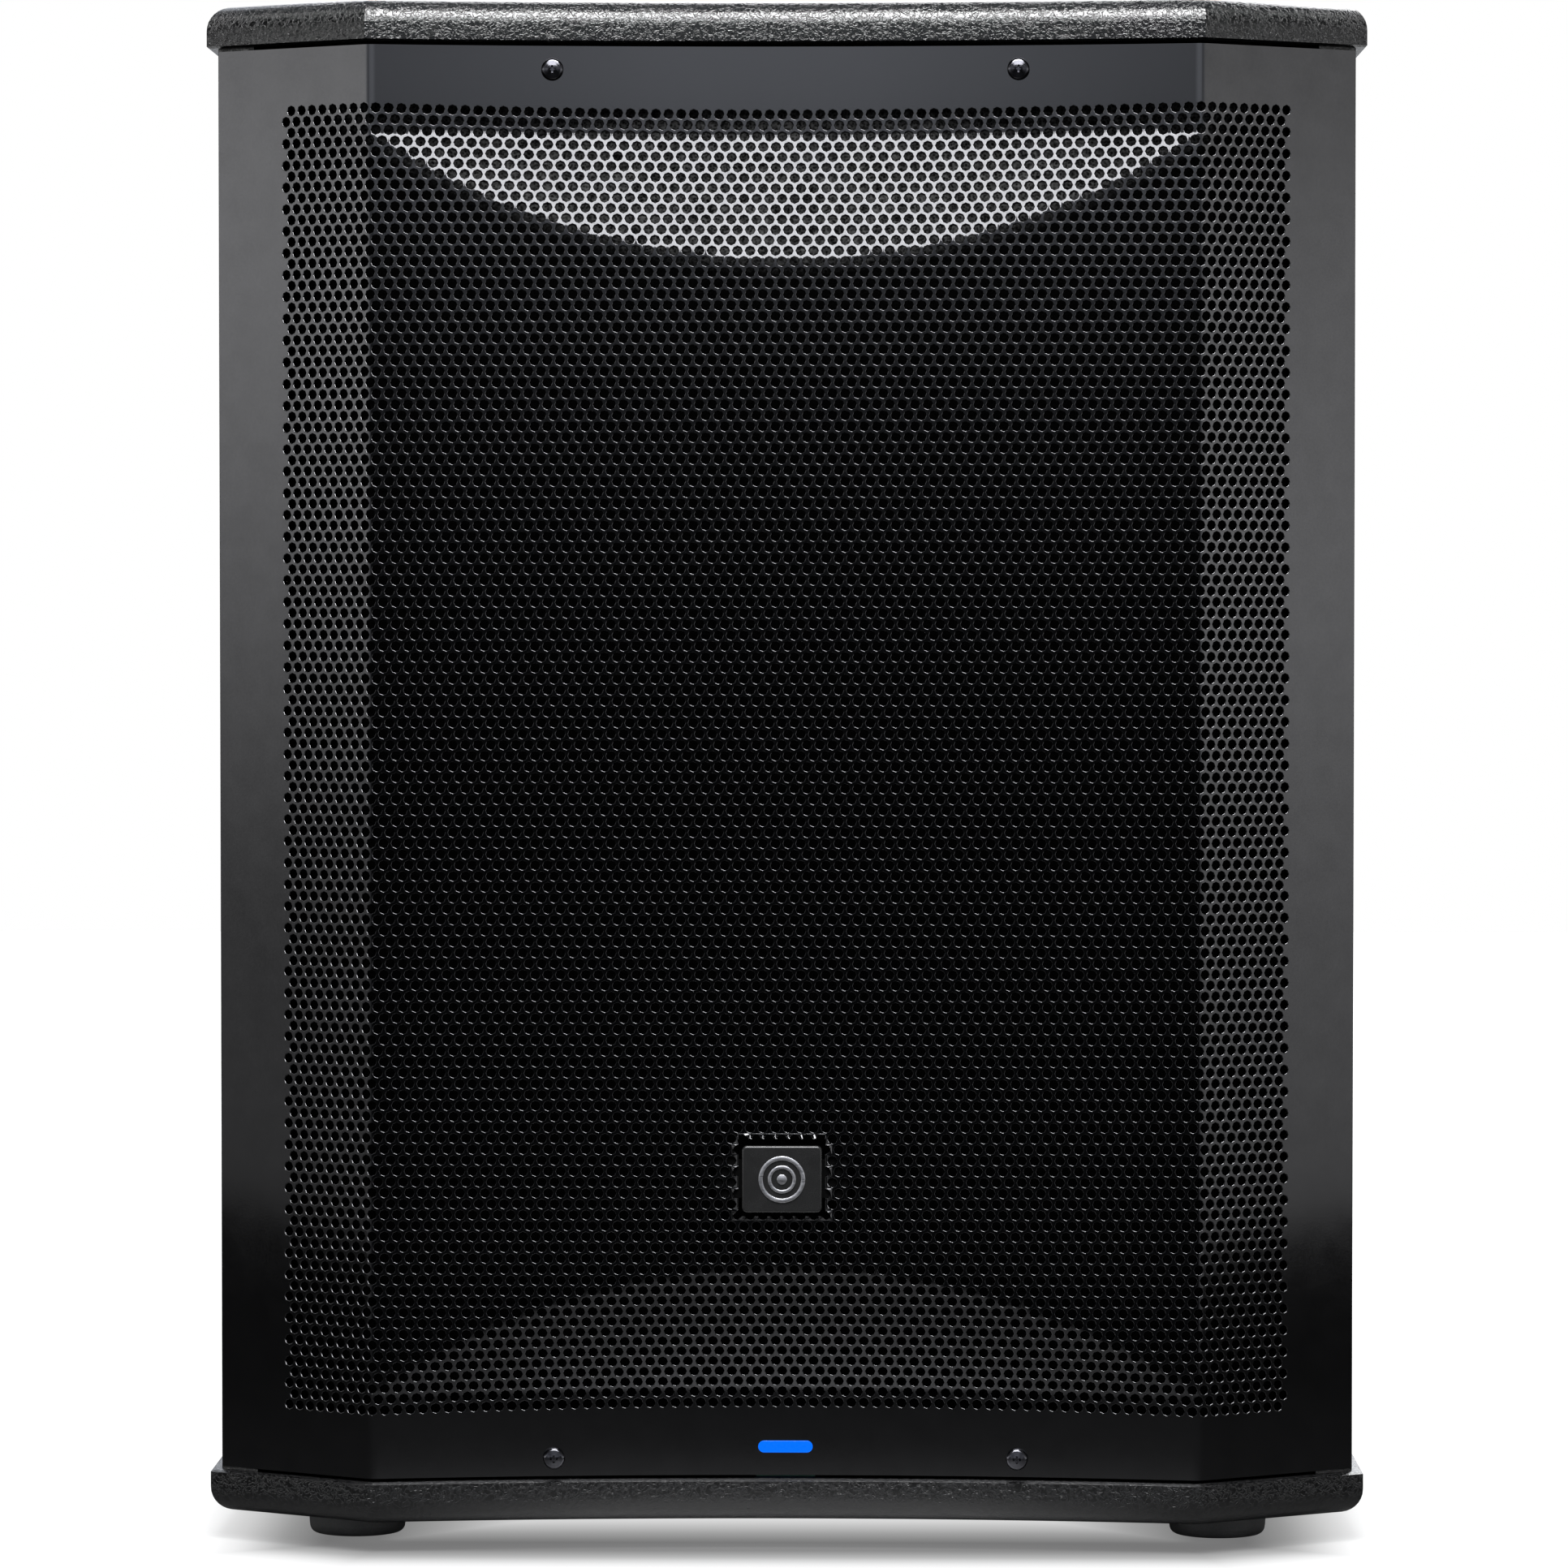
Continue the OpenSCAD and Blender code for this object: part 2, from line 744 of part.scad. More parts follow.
module amp_housing() {
    color("#9a9da0") difference() {
        block([-housing_x, housing_x], [housing_y, panel_in], [housing_lo, housing_hi]);
        block([1.5 - housing_x, housing_x - 1.5], [housing_y + 1.5, panel_in + 1],
            [housing_lo + 1.5, housing_hi - 1.5]);
    }
}

module heatsink() {
    w = 248;
    step = (w - 2) / (fin_count - 1);
    color("#2b2c2e") {
        block([-w / 2, w / 2], [panel_out, panel_out + 4], [sink_lo, sink_hi]);
        for (i = [0 : fin_count - 1])
            block(span(i * step - w / 2, [0, 2]), [panel_out + 3, panel_out + 14], [sink_lo, sink_hi]);
    }
}

// Circuit board on posts behind the panel
module board(z) {
    block([-120, 120], [board_y, board_y + 1.6], z);
    for (x = [-112, 112], h = [z[0] + 8, z[1] - 8]) rod_y(3, [board_y + 1.6, panel_in], [x, h]);
}

module amp_board() {
    z = [sink_lo + 4, sink_hi - 4];
    color("darkgreen") {
        board(z);
        for (x = [-70, -25]) rod_y(15, [board_y - 22, board_y], [x, z[0] + 40]);
        for (x = [20, 38, 56, 74]) rod_y(6, [board_y - 24, board_y], [x, z[0] + 30]);
        block([-100, 100], [board_y - 30, board_y], [z[0] + 80, z[0] + 88]);
        for (x = [-80, -40, 0, 40, 80])
            block([x - 8, x + 8], [board_y - 20, board_y], [z[0] + 88, z[0] + 93]);
    }
}

module power_supply() {
    z = [housing_lo + 6, sink_lo - 6];
    color("darkgreen") {
        board(z);
        block([-92, -44], [board_y - 40, board_y], [z[0] + 50, z[0] + 92]);
        for (x = [0, 36]) rod_y(15, [board_y - 46, board_y], [x, z[0] + 70]);
        block([70, 104], [board_y - 30, board_y], [z[0] + 50, z[0] + 84]);
        for (x = [-80, -60, -40, -20]) rod_y(6, [board_y - 22, board_y], [x, z[0] + 24]);
        block([-10, 100], [board_y - 34, board_y], [z[0] + 18, z[0] + 24]);
    }
}

// Body and flange that each round signal socket shares
module socket_body(x, z) {
    plate_y(26, 31, 3, [panel_out, panel_out + 2], [x, z]);
    rod_y(11.8, [panel_out - 27, panel_out + 3], [x, z]);
}

// Socket that takes a round three-pin plug or a quarter-inch jack plug
module input_jack(x, z) {
    difference() {
        union() {
            difference() {
                socket_body(x, z);
                rod_y(10.4, [panel_out - 12, panel_out + 4], [x, z]);
            }
            rod_y(8, [panel_out - 13, panel_out + 2], [x, z]);
        }
        rod_y(3.3, [panel_out - 22, panel_out + 4], [x, z]);
        for (a = [90, 210, 330])
            rod_y(1.3, [panel_out - 12, panel_out + 4], [x + 5.6 * cos(a), z + 5.6 * sin(a)]);
        block([x - 5, x + 5], [panel_out - 8, panel_out + 4], [z + 10.9, z + 14.6]);
    }
}

module input_jacks() {
    color("#18181a") for (x = jack_x) input_jack(x, input_z);
}

module output_jacks() {
    color("#18181a") for (x = jack_x) {
        difference() {
            socket_body(x, output_z);
            rod_y(9.7, [panel_out - 12, panel_out + 4], [x, output_z]);
        }
        for (a = [30, 150, 270])
            rod_y(1.2, [panel_out - 13, panel_out], [x + 5.4 * cos(a), output_z + 5.4 * sin(a)]);
    }
}

module latch(x) {
    color("silver") block([x - 4.5, x + 4.5], [panel_out - 5, panel_out + 4.5],
        [input_z + 12.3, input_z + 14.2]);
}

module latch_left() { latch(jack_x[1]); }
module latch_right() { latch(jack_x[0]); }

module level_pot() {
    color("silver") difference() {
        union() {
            rod_y(8.5, [panel_in - 12, panel_in - 1.5], [knob_x, knob_z]);
            rod_y(4.4, [panel_in - 2, panel_out + 0.2], [knob_x, knob_z]);
        }
        rod_y(3.1, [panel_in - 10, panel_out + 1], [knob_x, knob_z]);
    }
}

module level_knob() {
    color("#202020") difference() {
        union() {
            translate([knob_x, panel_out + 0.6, knob_z]) rotate([-90, 0, 0])
                cylinder(r1 = 12, r2 = 10.4, h = 13);
            rod_y(3, [panel_in - 9, panel_out + 2], [knob_x, knob_z]);
        }
        block([knob_x - 0.6, knob_x + 0.6], [panel_out + 12.8, panel_out + 15], [knob_z + 2, knob_z + 13]);
    }
}

module push_button(x) {
    color("#303030") rod_y(4, [panel_in - 3, panel_out + 4], [x, button_z]);
}

module polarity_button() { push_button(button_x[0]); }
module lift_button() { push_button(button_x[1]); }

// Three-blade mains inlet
module power_inlet() {
    color("#151515") {
        difference() {
            union() {
                plate_y(50, 28, 4, [panel_out, panel_out + 2], [inlet_x, inlet_z]);
                plate_y(27.4, 20.4, 2, [panel_out - 22, panel_out + 1], [inlet_x, inlet_z]);
            }
            plate_y(24.4, 17, 2, [panel_out - 14, panel_out + 3], [inlet_x, inlet_z]);
        }
        for (x = [-7, 7])
            block(span(inlet_x + x, [-1, 1]), span(panel_out, [-15, -1]), span(inlet_z, [-3, 1]));
        block(span(inlet_x, [-1, 1]), span(panel_out, [-15, -1]), span(inlet_z, [2, 6]));
    }
}

module power_switch() {
    color("#151515") difference() {
        union() {
            plate_y(24, 31, 2, [panel_out, panel_out + 2], [inlet_x, rocker_z]);
            plate_y(19.4, 26.4, 1, [panel_out - 18, panel_out + 1], [inlet_x, rocker_z]);
        }
        plate_y(14.2, 22.6, 0.5, [panel_out - 9, panel_out + 3], [inlet_x, rocker_z]);
    }
}

// Rocker, tipped to the side that is switched on
module power_rocker() {
    color("#7a1512") translate([inlet_x - 6.4, panel_out - 3, rocker_z])
        rotate([-8, 0, 0]) rotate([90, 0, 90]) linear_extrude(12.8)
            polygon([[1, -10], [5, -10], [3.8, 0], [5, 10], [1, 10], [-3.5, 0]]);
}

module panel_lights() {
    color("#2f80ff") for (x = lights_x) {
        rod_y(2.5, [panel_in - 4, panel_out + 0.4], [x, lights_z]);
        translate([x, panel_out + 0.4, lights_z]) intersection() {
            sphere(r = 2.5);
            block([-3, 3], [0, 3], [-3, 3]);
        }
    }
}

module amp_panel_screws() { color("#303030") amp_screws(0); }

top_panel();
bottom_panel();
side_panel_left();
side_panel_right();
back_panel();
amp_frame();
front_baffle();
port_shelf();
window_brace();
damping_lining();
grille();
grille_foam();
grille_brackets();
grille_screws();
badge();
badge_emblem();
badge_bracket();
led_lens();
led_board();
pole_socket();
foot_front_left();
foot_front_right();
foot_rear_left();
foot_rear_right();
wood_screws();
handle_cup_left();
handle_cup_right();
handle_grips();
woofer_basket();
surround();
cone();
dust_cap();
coil_former();
voice_coil();
spider();
top_plate();
magnet();
pole_piece();
woofer_terminals();
woofer_bolts();
woofer_tee_nuts();
speaker_cable();
amp_panel();
amp_housing();
heatsink();
amp_board();
power_supply();
input_jacks();
output_jacks();
latch_left();
latch_right();
level_pot();
level_knob();
polarity_button();
lift_button();
power_inlet();
power_switch();
power_rocker();
panel_lights();
amp_panel_screws();
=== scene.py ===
"""Looks of the powered bass cabinet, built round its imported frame. Metres, +Z up, front towards -Y."""

from math import cos, hypot, pi, radians, sin, sqrt, tan

import bmesh
import bpy
import numpy as np
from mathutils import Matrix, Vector, noise
from mathutils.geometry import delaunay_2d_cdt


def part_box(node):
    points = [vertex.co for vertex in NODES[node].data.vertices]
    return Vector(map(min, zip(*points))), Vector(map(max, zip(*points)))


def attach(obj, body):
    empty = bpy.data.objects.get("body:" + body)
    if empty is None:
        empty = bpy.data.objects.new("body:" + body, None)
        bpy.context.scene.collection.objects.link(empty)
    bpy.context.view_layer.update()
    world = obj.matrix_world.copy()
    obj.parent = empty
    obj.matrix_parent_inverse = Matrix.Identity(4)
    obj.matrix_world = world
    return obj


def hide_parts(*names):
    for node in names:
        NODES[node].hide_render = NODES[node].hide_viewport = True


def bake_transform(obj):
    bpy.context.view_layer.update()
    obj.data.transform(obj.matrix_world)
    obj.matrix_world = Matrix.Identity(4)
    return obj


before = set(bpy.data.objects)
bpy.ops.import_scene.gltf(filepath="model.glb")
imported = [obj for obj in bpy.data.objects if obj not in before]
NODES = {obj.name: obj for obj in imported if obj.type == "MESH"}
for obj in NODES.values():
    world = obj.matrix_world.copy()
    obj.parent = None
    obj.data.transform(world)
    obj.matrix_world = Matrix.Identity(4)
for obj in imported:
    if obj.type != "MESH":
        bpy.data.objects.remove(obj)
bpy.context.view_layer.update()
MM = 0.001

# ---------------------------------------------------------------- camera, lights

CAMERA_AT, CAMERA_WAY = (0.0428, -3.236, 0.454), (-0.0148, 1, -0.0314)
SENSOR, LENS = 36, 143.05  # millimetres


def new_object(name, data):
    obj = bpy.data.objects.new(name, data)
    bpy.context.scene.collection.objects.link(obj)
    return obj


def aimed(name, data, at, way):
    """A camera or a lamp at a place, looking along a direction."""
    obj = new_object(name, data)
    obj.location = at
    obj.rotation_euler = Vector(way).to_track_quat("-Z", "Y").to_euler()
    return obj


def add_camera():
    data = bpy.data.cameras.new("front_view")
    data.sensor_width, data.lens = SENSOR, LENS
    data.clip_start, data.clip_end = 0.05, 60
    bpy.context.scene.camera = aimed("front_view", data, CAMERA_AT, CAMERA_WAY)


def area_light(name, at, aim, size, power, color=(1, 1, 1)):
    """A soft box that the camera doesn't see."""
    data = bpy.data.lights.new(name, "AREA")
    data.shape, data.size, data.size_y = "RECTANGLE", size[0], size[1]
    data.energy, data.color = power, color
    aimed(name, data, at, Vector(aim) - Vector(at)).visible_camera = False


# radiance of the room by the sine of the elevation: ahead of the cabinet, to its left, to its right and behind
AHEAD = [(-0.30, 0.09), (-0.10, 0.04), (-0.03, 0.025), (0.0, 0.035), (0.033, 0.075), (0.05, 0.22),
         (0.063, 0.50), (0.072, 1.6), (0.084, 1.9), (0.10, 1.4), (0.14, 0.8), (0.30, 0.8), (0.42, 0.5),
         (0.55, 0.6), (0.80, 0.8)]
LEFT = [(-0.30, 0.08), (-0.13, 0.42), (-0.10, 0.44), (-0.05, 0.45), (0.0, 1.45), (0.05, 2.4), (0.09, 2.2),
        (0.20, 0.35), (0.40, 0.08), (0.70, 0.05)]
RIGHT = [(-0.30, 0.12), (-0.13, 0.66), (-0.10, 0.80), (-0.05, 1.1), (0.0, 1.8), (0.05, 1.6), (0.09, 1.1),
         (0.20, 0.45), (0.40, 0.2), (0.70, 0.2)]
BEHIND = [(-0.30, 0.3), (0.0, 0.7), (0.10, 1.2), (0.30, 1.3), (0.60, 0.4)]
ROOM_PEAK = 2.4


def light_room():
    """Pale where the camera sees it. For everything else dark below eye height and brighter at the sides."""
    world = bpy.data.worlds.new("room")
    bpy.context.scene.world = world
    world.use_nodes = True
    g = Graph(world.node_tree)
    x, y, z = g.split(g.node("TexCoord").outputs["Generated"])
    low = AHEAD[0][0]
    at = g.minus(z, low)
    ahead, left, right, behind = (g.ramp(at, [(e - low, v / ROOM_PEAK) for e, v in table])
                                  for table in (AHEAD, LEFT, RIGHT, BEHIND))
    off = g.math("ABSOLUTE", x)
    ahead = g.times(ahead, g.ramp(off, [(0.06, 1), (0.36, 0.45)]))
    to_left = g.ramp(g.times(x, -1.0), [(0.35, 0), (0.75, 1)])
    to_right = g.ramp(x, [(0.35, 0), (0.75, 1)])
    glow = g.mix_value(to_right, g.mix_value(to_left, ahead, left), right)
    glow = g.mix_value(g.ramp(y, [(0.05, 0), (0.4, 1)]), glow, behind)
    seen = g.node("LightPath").outputs["Is Camera Ray"]
    back = g.node("Background")
    sides = g.plus(to_left, to_right)
    g.link(g.mix_color(g.most(sides, seen), (0.88, 0.92, 1.0), (1, 1, 1)), back.inputs["Color"])
    g.link(g.mix_value(seen, g.times(glow, ROOM_PEAK), 1.0), back.inputs["Strength"])
    g.link(back.outputs[0], g.node("OutputWorld").inputs["Surface"])


class Graph:
    """Short calls for building a node tree."""

    def __init__(self, tree):
        self.tree = tree
        tree.nodes.clear()

    def node(self, kind, **values):
        n = self.tree.nodes.new("ShaderNode" + kind)
        for k, v in values.items():
            setattr(n, k, v)
        return n

    def link(self, a, b):
        self.tree.links.new(a, b)

    def feed(self, socket, value):
        if isinstance(value, bpy.types.NodeSocket):
            self.link(value, socket)
        else:
            socket.default_value = value

    def split(self, vector):
        n = self.node("SeparateXYZ")
        self.link(vector, n.inputs[0])
        return n.outputs

    def math(self, operation, a, b=0.0, c=0.5):
        n = self.node("Math", operation=operation)
        for socket, value in zip(n.inputs, (a, b, c)):
            self.feed(socket, value)
        return n.outputs[0]

    def plus(self, a, b):
        return self.math("ADD", a, b)

    def minus(self, a, b):
        return self.math("SUBTRACT", a, b)

    def times(self, a, b):
        return self.math("MULTIPLY", a, b)

    def most(self, a, b):
        return self.math("MAXIMUM", a, b)

    def mix_value(self, factor, a, b):
        n = self.node("Mix", data_type="FLOAT")
        for i, value in ((0, factor), (2, a), (3, b)):
            self.feed(n.inputs[i], value)
        return n.outputs[0]

    def mix_color(self, factor, a, b):
        n = self.node("Mix", data_type="RGBA")
        self.feed(n.inputs[0], factor)
        for i, c in ((6, a), (7, b)):
            self.feed(n.inputs[i], c if isinstance(c, bpy.types.NodeSocket) else (*c, 1))
        return n.outputs[2]

    def ramp(self, factor, stops):
        """Grey values at places along the factor."""
        n = self.node("ValToRGB")
        points = n.color_ramp.elements
        points[0].position, points[-1].position = stops[0][0], stops[-1][0]
        for at, _ in stops[1:-1]:
            points.new(at)
        for p, (_, value) in zip(points, stops):
            p.color = (value, value, value, 1)
        self.feed(n.inputs[0], factor)
        return n.outputs[0]

    def place(self, stretch=(1, 1, 1)):
        """Coordinates fixed to the piece, in metres."""
        n = self.node("Mapping")
        self.link(self.node("TexCoord").outputs["Object"], n.inputs[0])
        n.inputs["Scale"].default_value = stretch
        return n.outputs[0]

    def noise(self, at, scale, detail=3.0, rough=0.55, distortion=0.0):
        n = self.node("TexNoise")
        self.link(at, n.inputs["Vector"])
        values = {"Scale": scale, "Detail": detail, "Roughness": rough, "Distortion": distortion}
        for key, value in values.items():
            n.inputs[key].default_value = value
        return n.outputs["Fac"]

    def cells(self, at, scale, smooth=True):
        n = self.node("TexVoronoi", feature="SMOOTH_F1" if smooth else "F1")
        self.link(at, n.inputs["Vector"])
        n.inputs["Scale"].default_value = scale
        return n.outputs["Distance"]

    def bump(self, height, distance):
        n = self.node("Bump")
        n.inputs["Strength"].default_value = 1.0
        n.inputs["Distance"].default_value = distance
        self.link(height, n.inputs["Height"])
        return n.outputs[0]


def shader(name, color, rough, metal=0.0, specular=0.5, build=None, **sockets):
    """A material on one Principled shader.

    build(g) makes its pattern: colour, roughness, height, how deep the height goes in millimetres, and any glow.
    """
    mat = bpy.data.materials.new(name)
    mat.use_nodes = True
    g = Graph(mat.node_tree)
    p = g.node("BsdfPrincipled").inputs
    p["Base Color"].default_value = (*color, 1)
    p["Roughness"].default_value = rough
    p["Metallic"].default_value = metal
    p["Specular IOR Level"].default_value = specular
    for key, value in sockets.items():
        p[key.replace("_", " ")].default_value = value
    if build:
        tone, gloss, height, depth, *glow = build(g)
        for key, value in zip(("Base Color", "Roughness", "Emission Strength"), (tone, gloss, *glow)):
            if value:
                g.link(value, p[key])
        if height:
            g.link(g.bump(height, depth * MM), p["Normal"])
    g.link(p["Base Color"].node.outputs[0], g.node("OutputMaterial").inputs["Surface"])
    return mat


def grain(color, spread, rough, size, depth):
    """Uneven colour and gloss with a fine raised grain: size and depth in millimetres."""

    def build(g):
        at = g.place()
        fine = g.noise(at, 1000 / size, 4.0, 0.6)
        wide = g.noise(at, 1000 / size / 14, 3.0, 0.5)
        both = g.mix_value(0.4, fine, wide)
        low, high = (tuple(c * k for c in color) for k in (1 - spread, 1 + spread))
        tone = g.mix_color(g.ramp(both, [(0.35, 0), (0.65, 1)]), low, high)
        return tone, g.ramp(both, [(0.3, rough[0]), (0.7, rough[1])]), fine, depth

    return build


def grained(name, color, rough, spread, span, size, depth, **more):
    """A material with no other pattern than its grain."""
    return shader(name, color, rough, build=grain(color, spread, span, size, depth), **more)


def put(mat, *nodes):
    """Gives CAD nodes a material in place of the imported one."""
    for obj in (NODES[n] for n in nodes):
        for slot in obj.material_slots:
            slot.material = mat
        if not obj.material_slots:
            obj.data.materials.append(mat)


# ---------------------------------------------------------------- the grille's surface

FOLD_X, FOLD_Y, WING = 0.195, -0.315, radians(30)
BEND = 0.004  # developed width of each fold
SHEET = 0.0015
TILT = radians(16)  # slope of the crescents
ARC_R, ARC_RISE, MID_Z = 0.348, 0.2368, 0.371  # the crescents' arcs about the middle of the face
HOLLOW = 0.0586 * tan(TILT)
STRIP_R = (FOLD_X**2 + HOLLOW**2) / (2 * HOLLOW)
PITCH, ROW = 0.00594, 0.005144  # between holes and between rows
ROWS, COLS, SIDES = 120, 82, 8
HOLE_R, RIM = 0.00215, 0.0005
TOP_ROW = 0.67897
EDGE_S, EDGE_Z = 0.2810, (0.0345, 0.7085)
FOAM_Y = -0.2905  # how far forward the foam comes
WINDOW = (-0.0220, 0.0190, 0.1589, 0.1954)  # opening for the badge: s, s, z, z
DISH, DISH_SLOPE = 0.0019, 0.45
TINY = 1e-9


def plan(s):
    """Where the unfolded sheet's width s lies in plan: x, y, and the way it faces."""
    turn_r = BEND / WING
    start = FOLD_X - turn_r * tan(WING / 2)
    u = np.abs(s) - start
    bent = np.clip(u, 0, BEND)
    rest = np.clip(u - BEND, 0, None)
    x = np.minimum(np.abs(s), start) + turn_r * np.sin(bent / turn_r) + rest * cos(WING)
    y = FOLD_Y + turn_r * (1 - np.cos(bent / turn_r)) + rest * sin(WING)
    return np.sign(s) * x, y


def recess(x, z):
    """How far the pressed crescents and the hollow strips lie behind the front face."""
    up = np.abs(z - MID_Z)
    rho = np.hypot(x, ARC_RISE + ARC_R - up)
    cone = (ARC_R - rho) * tan(TILT)
    strip = HOLLOW - (STRIP_R - np.sqrt(STRIP_R**2 - np.clip(x, -FOLD_X, FOLD_X) ** 2))
    return np.where(up > ARC_RISE - 0.02, np.maximum(0, np.minimum(cone, strip)), 0)


def height(x, t):
    """The real height of a row that is at t along the unfolded sheet."""
    inside = np.clip(np.abs(x), 0, FOLD_X)
    strip = HOLLOW - (STRIP_R - np.sqrt(STRIP_R**2 - inside**2))
    low = ARC_RISE + ARC_R - np.sqrt(ARC_R**2 - inside**2)
    r = ARC_R - strip / tan(TILT)
    high = ARC_RISE + ARC_R - np.sqrt(np.clip(r**2 - inside**2, 0, None))
    slant = np.hypot(high - low, strip)
    share = np.where(slant > TINY, (high - low) / np.maximum(slant, TINY), 1)
    v = np.abs(t - MID_Z)
    up = np.where(v < low, v, np.where(v < low + slant, low + (v - low) * share, high + v - low - slant))
    return MID_Z + np.sign(t - MID_Z) * up


def from_window(s, z):
    """How far a point of the sheet is outside the badge's opening."""
    return np.hypot(np.clip(np.maximum(WINDOW[0] - s, s - WINDOW[1]), 0, None),
                    np.clip(np.maximum(WINDOW[2] - z, z - WINDOW[3]), 0, None))


def dish(s, z):
    """The sheet turns in a little round the badge's opening."""
    return DISH_SLOPE * np.clip(DISH - from_window(s, z), 0, DISH)


def sheet_point(s, t, fixed_z=None):
    """Points on the sheet's front, from their places on the unfolded sheet."""
    x, y = plan(s)
    z = height(x, t) if fixed_z is None else fixed_z
    return np.stack([x, y + recess(x, z) + dish(s, z), z], -1)


def unit(v):
    return v / np.linalg.norm(v, axis=-1, keepdims=True)


def sheet_normal(s, t):
    e = 2e-5
    a = sheet_point(s + e, t) - sheet_point(s - e, t)
    b = sheet_point(s, t + e) - sheet_point(s, t - e)
    return unit(np.cross(a, b))


def steps_round(loop):
    """Each item of a closed loop with the one after it."""
    return zip(loop, loop[1:] + loop[:1])


def grid_edge(rows, cols):
    """The places round the outside of a grid."""
    down = [(i, 0) for i in range(rows)] + [(rows - 1, k) for k in range(1, cols)]
    return down + [(i, cols - 1) for i in range(rows - 2, -1, -1)] + [(0, k) for k in range(cols - 2, 0, -1)]


def open_edges(loops):
    """The sides of closed loops that no other loop runs back along."""
    edges = {}
    for loop in loops:
        for p, q in steps_round(loop):
            if (q, p) in edges:
                del edges[q, p]
            else:
                edges[p, q] = True
    return list(edges)


class Mesh:
    """Collects points and faces with a normal for each corner."""

    def __init__(self):
        self.points, self.faces, self.normals, self.count = [], [], [], 0

    def add(self, points):
        points = np.asarray(points, float)
        flat = points.reshape(-1, 3)
        ids = np.arange(self.count, self.count + len(flat)).reshape(points.shape[:-1])
        self.points.append(flat)
        self.count += len(flat)
        return ids

    def face(self, ids, normals):
        """Faces of one size: ids (n, k) and a normal for each corner (n, k, 3)."""
        ids = np.asarray(ids).reshape(-1, np.shape(ids)[-1])
        self.faces.append(ids)
        self.normals.append(np.broadcast_to(normals, (*ids.shape, 3)).reshape(-1, 3))

    def build(self, name):
        mesh = bpy.data.meshes.new(name)
        mesh.from_pydata(np.concatenate(self.points).tolist(), [], [f for ids in self.faces for f in ids.tolist()])
        mesh.polygons.foreach_set("use_smooth", np.ones(len(mesh.polygons), bool))
        mesh.normals_split_custom_set(np.concatenate(self.normals))
        return mesh


def add_piece(name, mesh, slot, node=None, look=None, body="cabinet"):
    """An object on a body, standing for a CAD node, in the material of its slot or in another look."""
    obj = new_object(name, mesh)
    mesh.materials.append(LOOKS[look or slot])
    if body:
        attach(obj, body)
    if node:
        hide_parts(node)
    return obj


def window_outline(centre):
    """The badge's opening: a rectangle with round corners joined to each hole that its edge cuts."""
    top, sides, bottom = 94, (95, 97, 99), 101  # rows of the holes that it cuts
    holes = [((m - 0.25) * PITCH, TOP_ROW - top * ROW) for m in range(-3, 4)]
    holes += [((m + 0.25) * PITCH, TOP_ROW - row * ROW) for row in sides for m in (-4, 3)]
    holes += [((m + 0.25) * PITCH, TOP_ROW - bottom * ROW) for m in range(-4, 4)]
    points = []
    for i in range(720):
        a = pi * i / 360
        c, d = cos(a), sin(a)
        reach_s = ((WINDOW[1] if c > 0 else WINDOW[0]) - centre[0]) / c if abs(c) > TINY else 1
        reach_z = ((WINDOW[3] if d > 0 else WINDOW[2]) - centre[1]) / d if abs(d) > TINY else 1
        reach = min(reach_s, reach_z)
        for hs, hz in holes:
            hs, hz = hs - centre[0], hz - centre[1]
            along = hs * c + hz * d
            off = HOLE_R**2 - (hs**2 + hz**2 - along**2)
            if off > 0 and along - sqrt(off) <= reach < along + sqrt(off):
                reach = along + sqrt(off)
        points.append((centre[0] + reach * c, centre[1] + reach * d))
    kept = [points[0]]
    for here, after in zip(points[1:], points[2:] + points[:1]):
        a, b = Vector(here) - Vector(kept[-1]), Vector(after) - Vector(here)
        if abs(a.normalized().cross(b.normalized())) > 0.02 or a.length > 0.004:
            kept.append(here)
    return kept


def make_grille():
    """The perforated sheet: a lattice of cells with a hole in each, plain bands round it, and the opening."""
    m = Mesh()
    s_of_k = (np.arange(2 * COLS + 2) - (COLS + 0.5)) * PITCH / 2
    t_of_j = TOP_ROW + (0.5 - np.arange(ROWS + 1)) * ROW
    s, t = np.meshgrid(s_of_k, t_of_j)
    front_n = sheet_normal(s, t)
    front = m.add(sheet_point(s, t))
    back = m.add(sheet_point(s, t) - SHEET * front_n)

    row, col = np.meshgrid(np.arange(ROWS), np.arange(COLS), indexing="ij")
    left = 2 * col + (row + 1) % 2
    hole_s, hole_t = s_of_k[left + 1], TOP_ROW - row * ROW
    gone = from_window(hole_s, hole_t) < 0.5 * PITCH
    row, left, hole_s, hole_t = (v[~gone] for v in (row, left, hole_s, hole_t))
    perforate(m, row, left, hole_s, hole_t, front, back, front_n)

    # half cells at the ends of the rows
    even, odd, last = np.arange(0, ROWS, 2), np.arange(1, ROWS, 2), 2 * COLS
    for grid, side in ((front, 1), (back, -1)):
        for i, k in ((even, 0), (odd, last)):
            at = [(i, k), (i + 1, k), (i + 1, k + 1), (i, k + 1)][::side]
            m.face(np.stack([grid[p] for p in at], -1), side * np.stack([front_n[p] for p in at], 1))

    add_bands(m, s_of_k, t_of_j, front, back, front_n)
    open_window(m, gone, s_of_k, t_of_j, front, back, front_n)
    return m.build("grille_sheet")


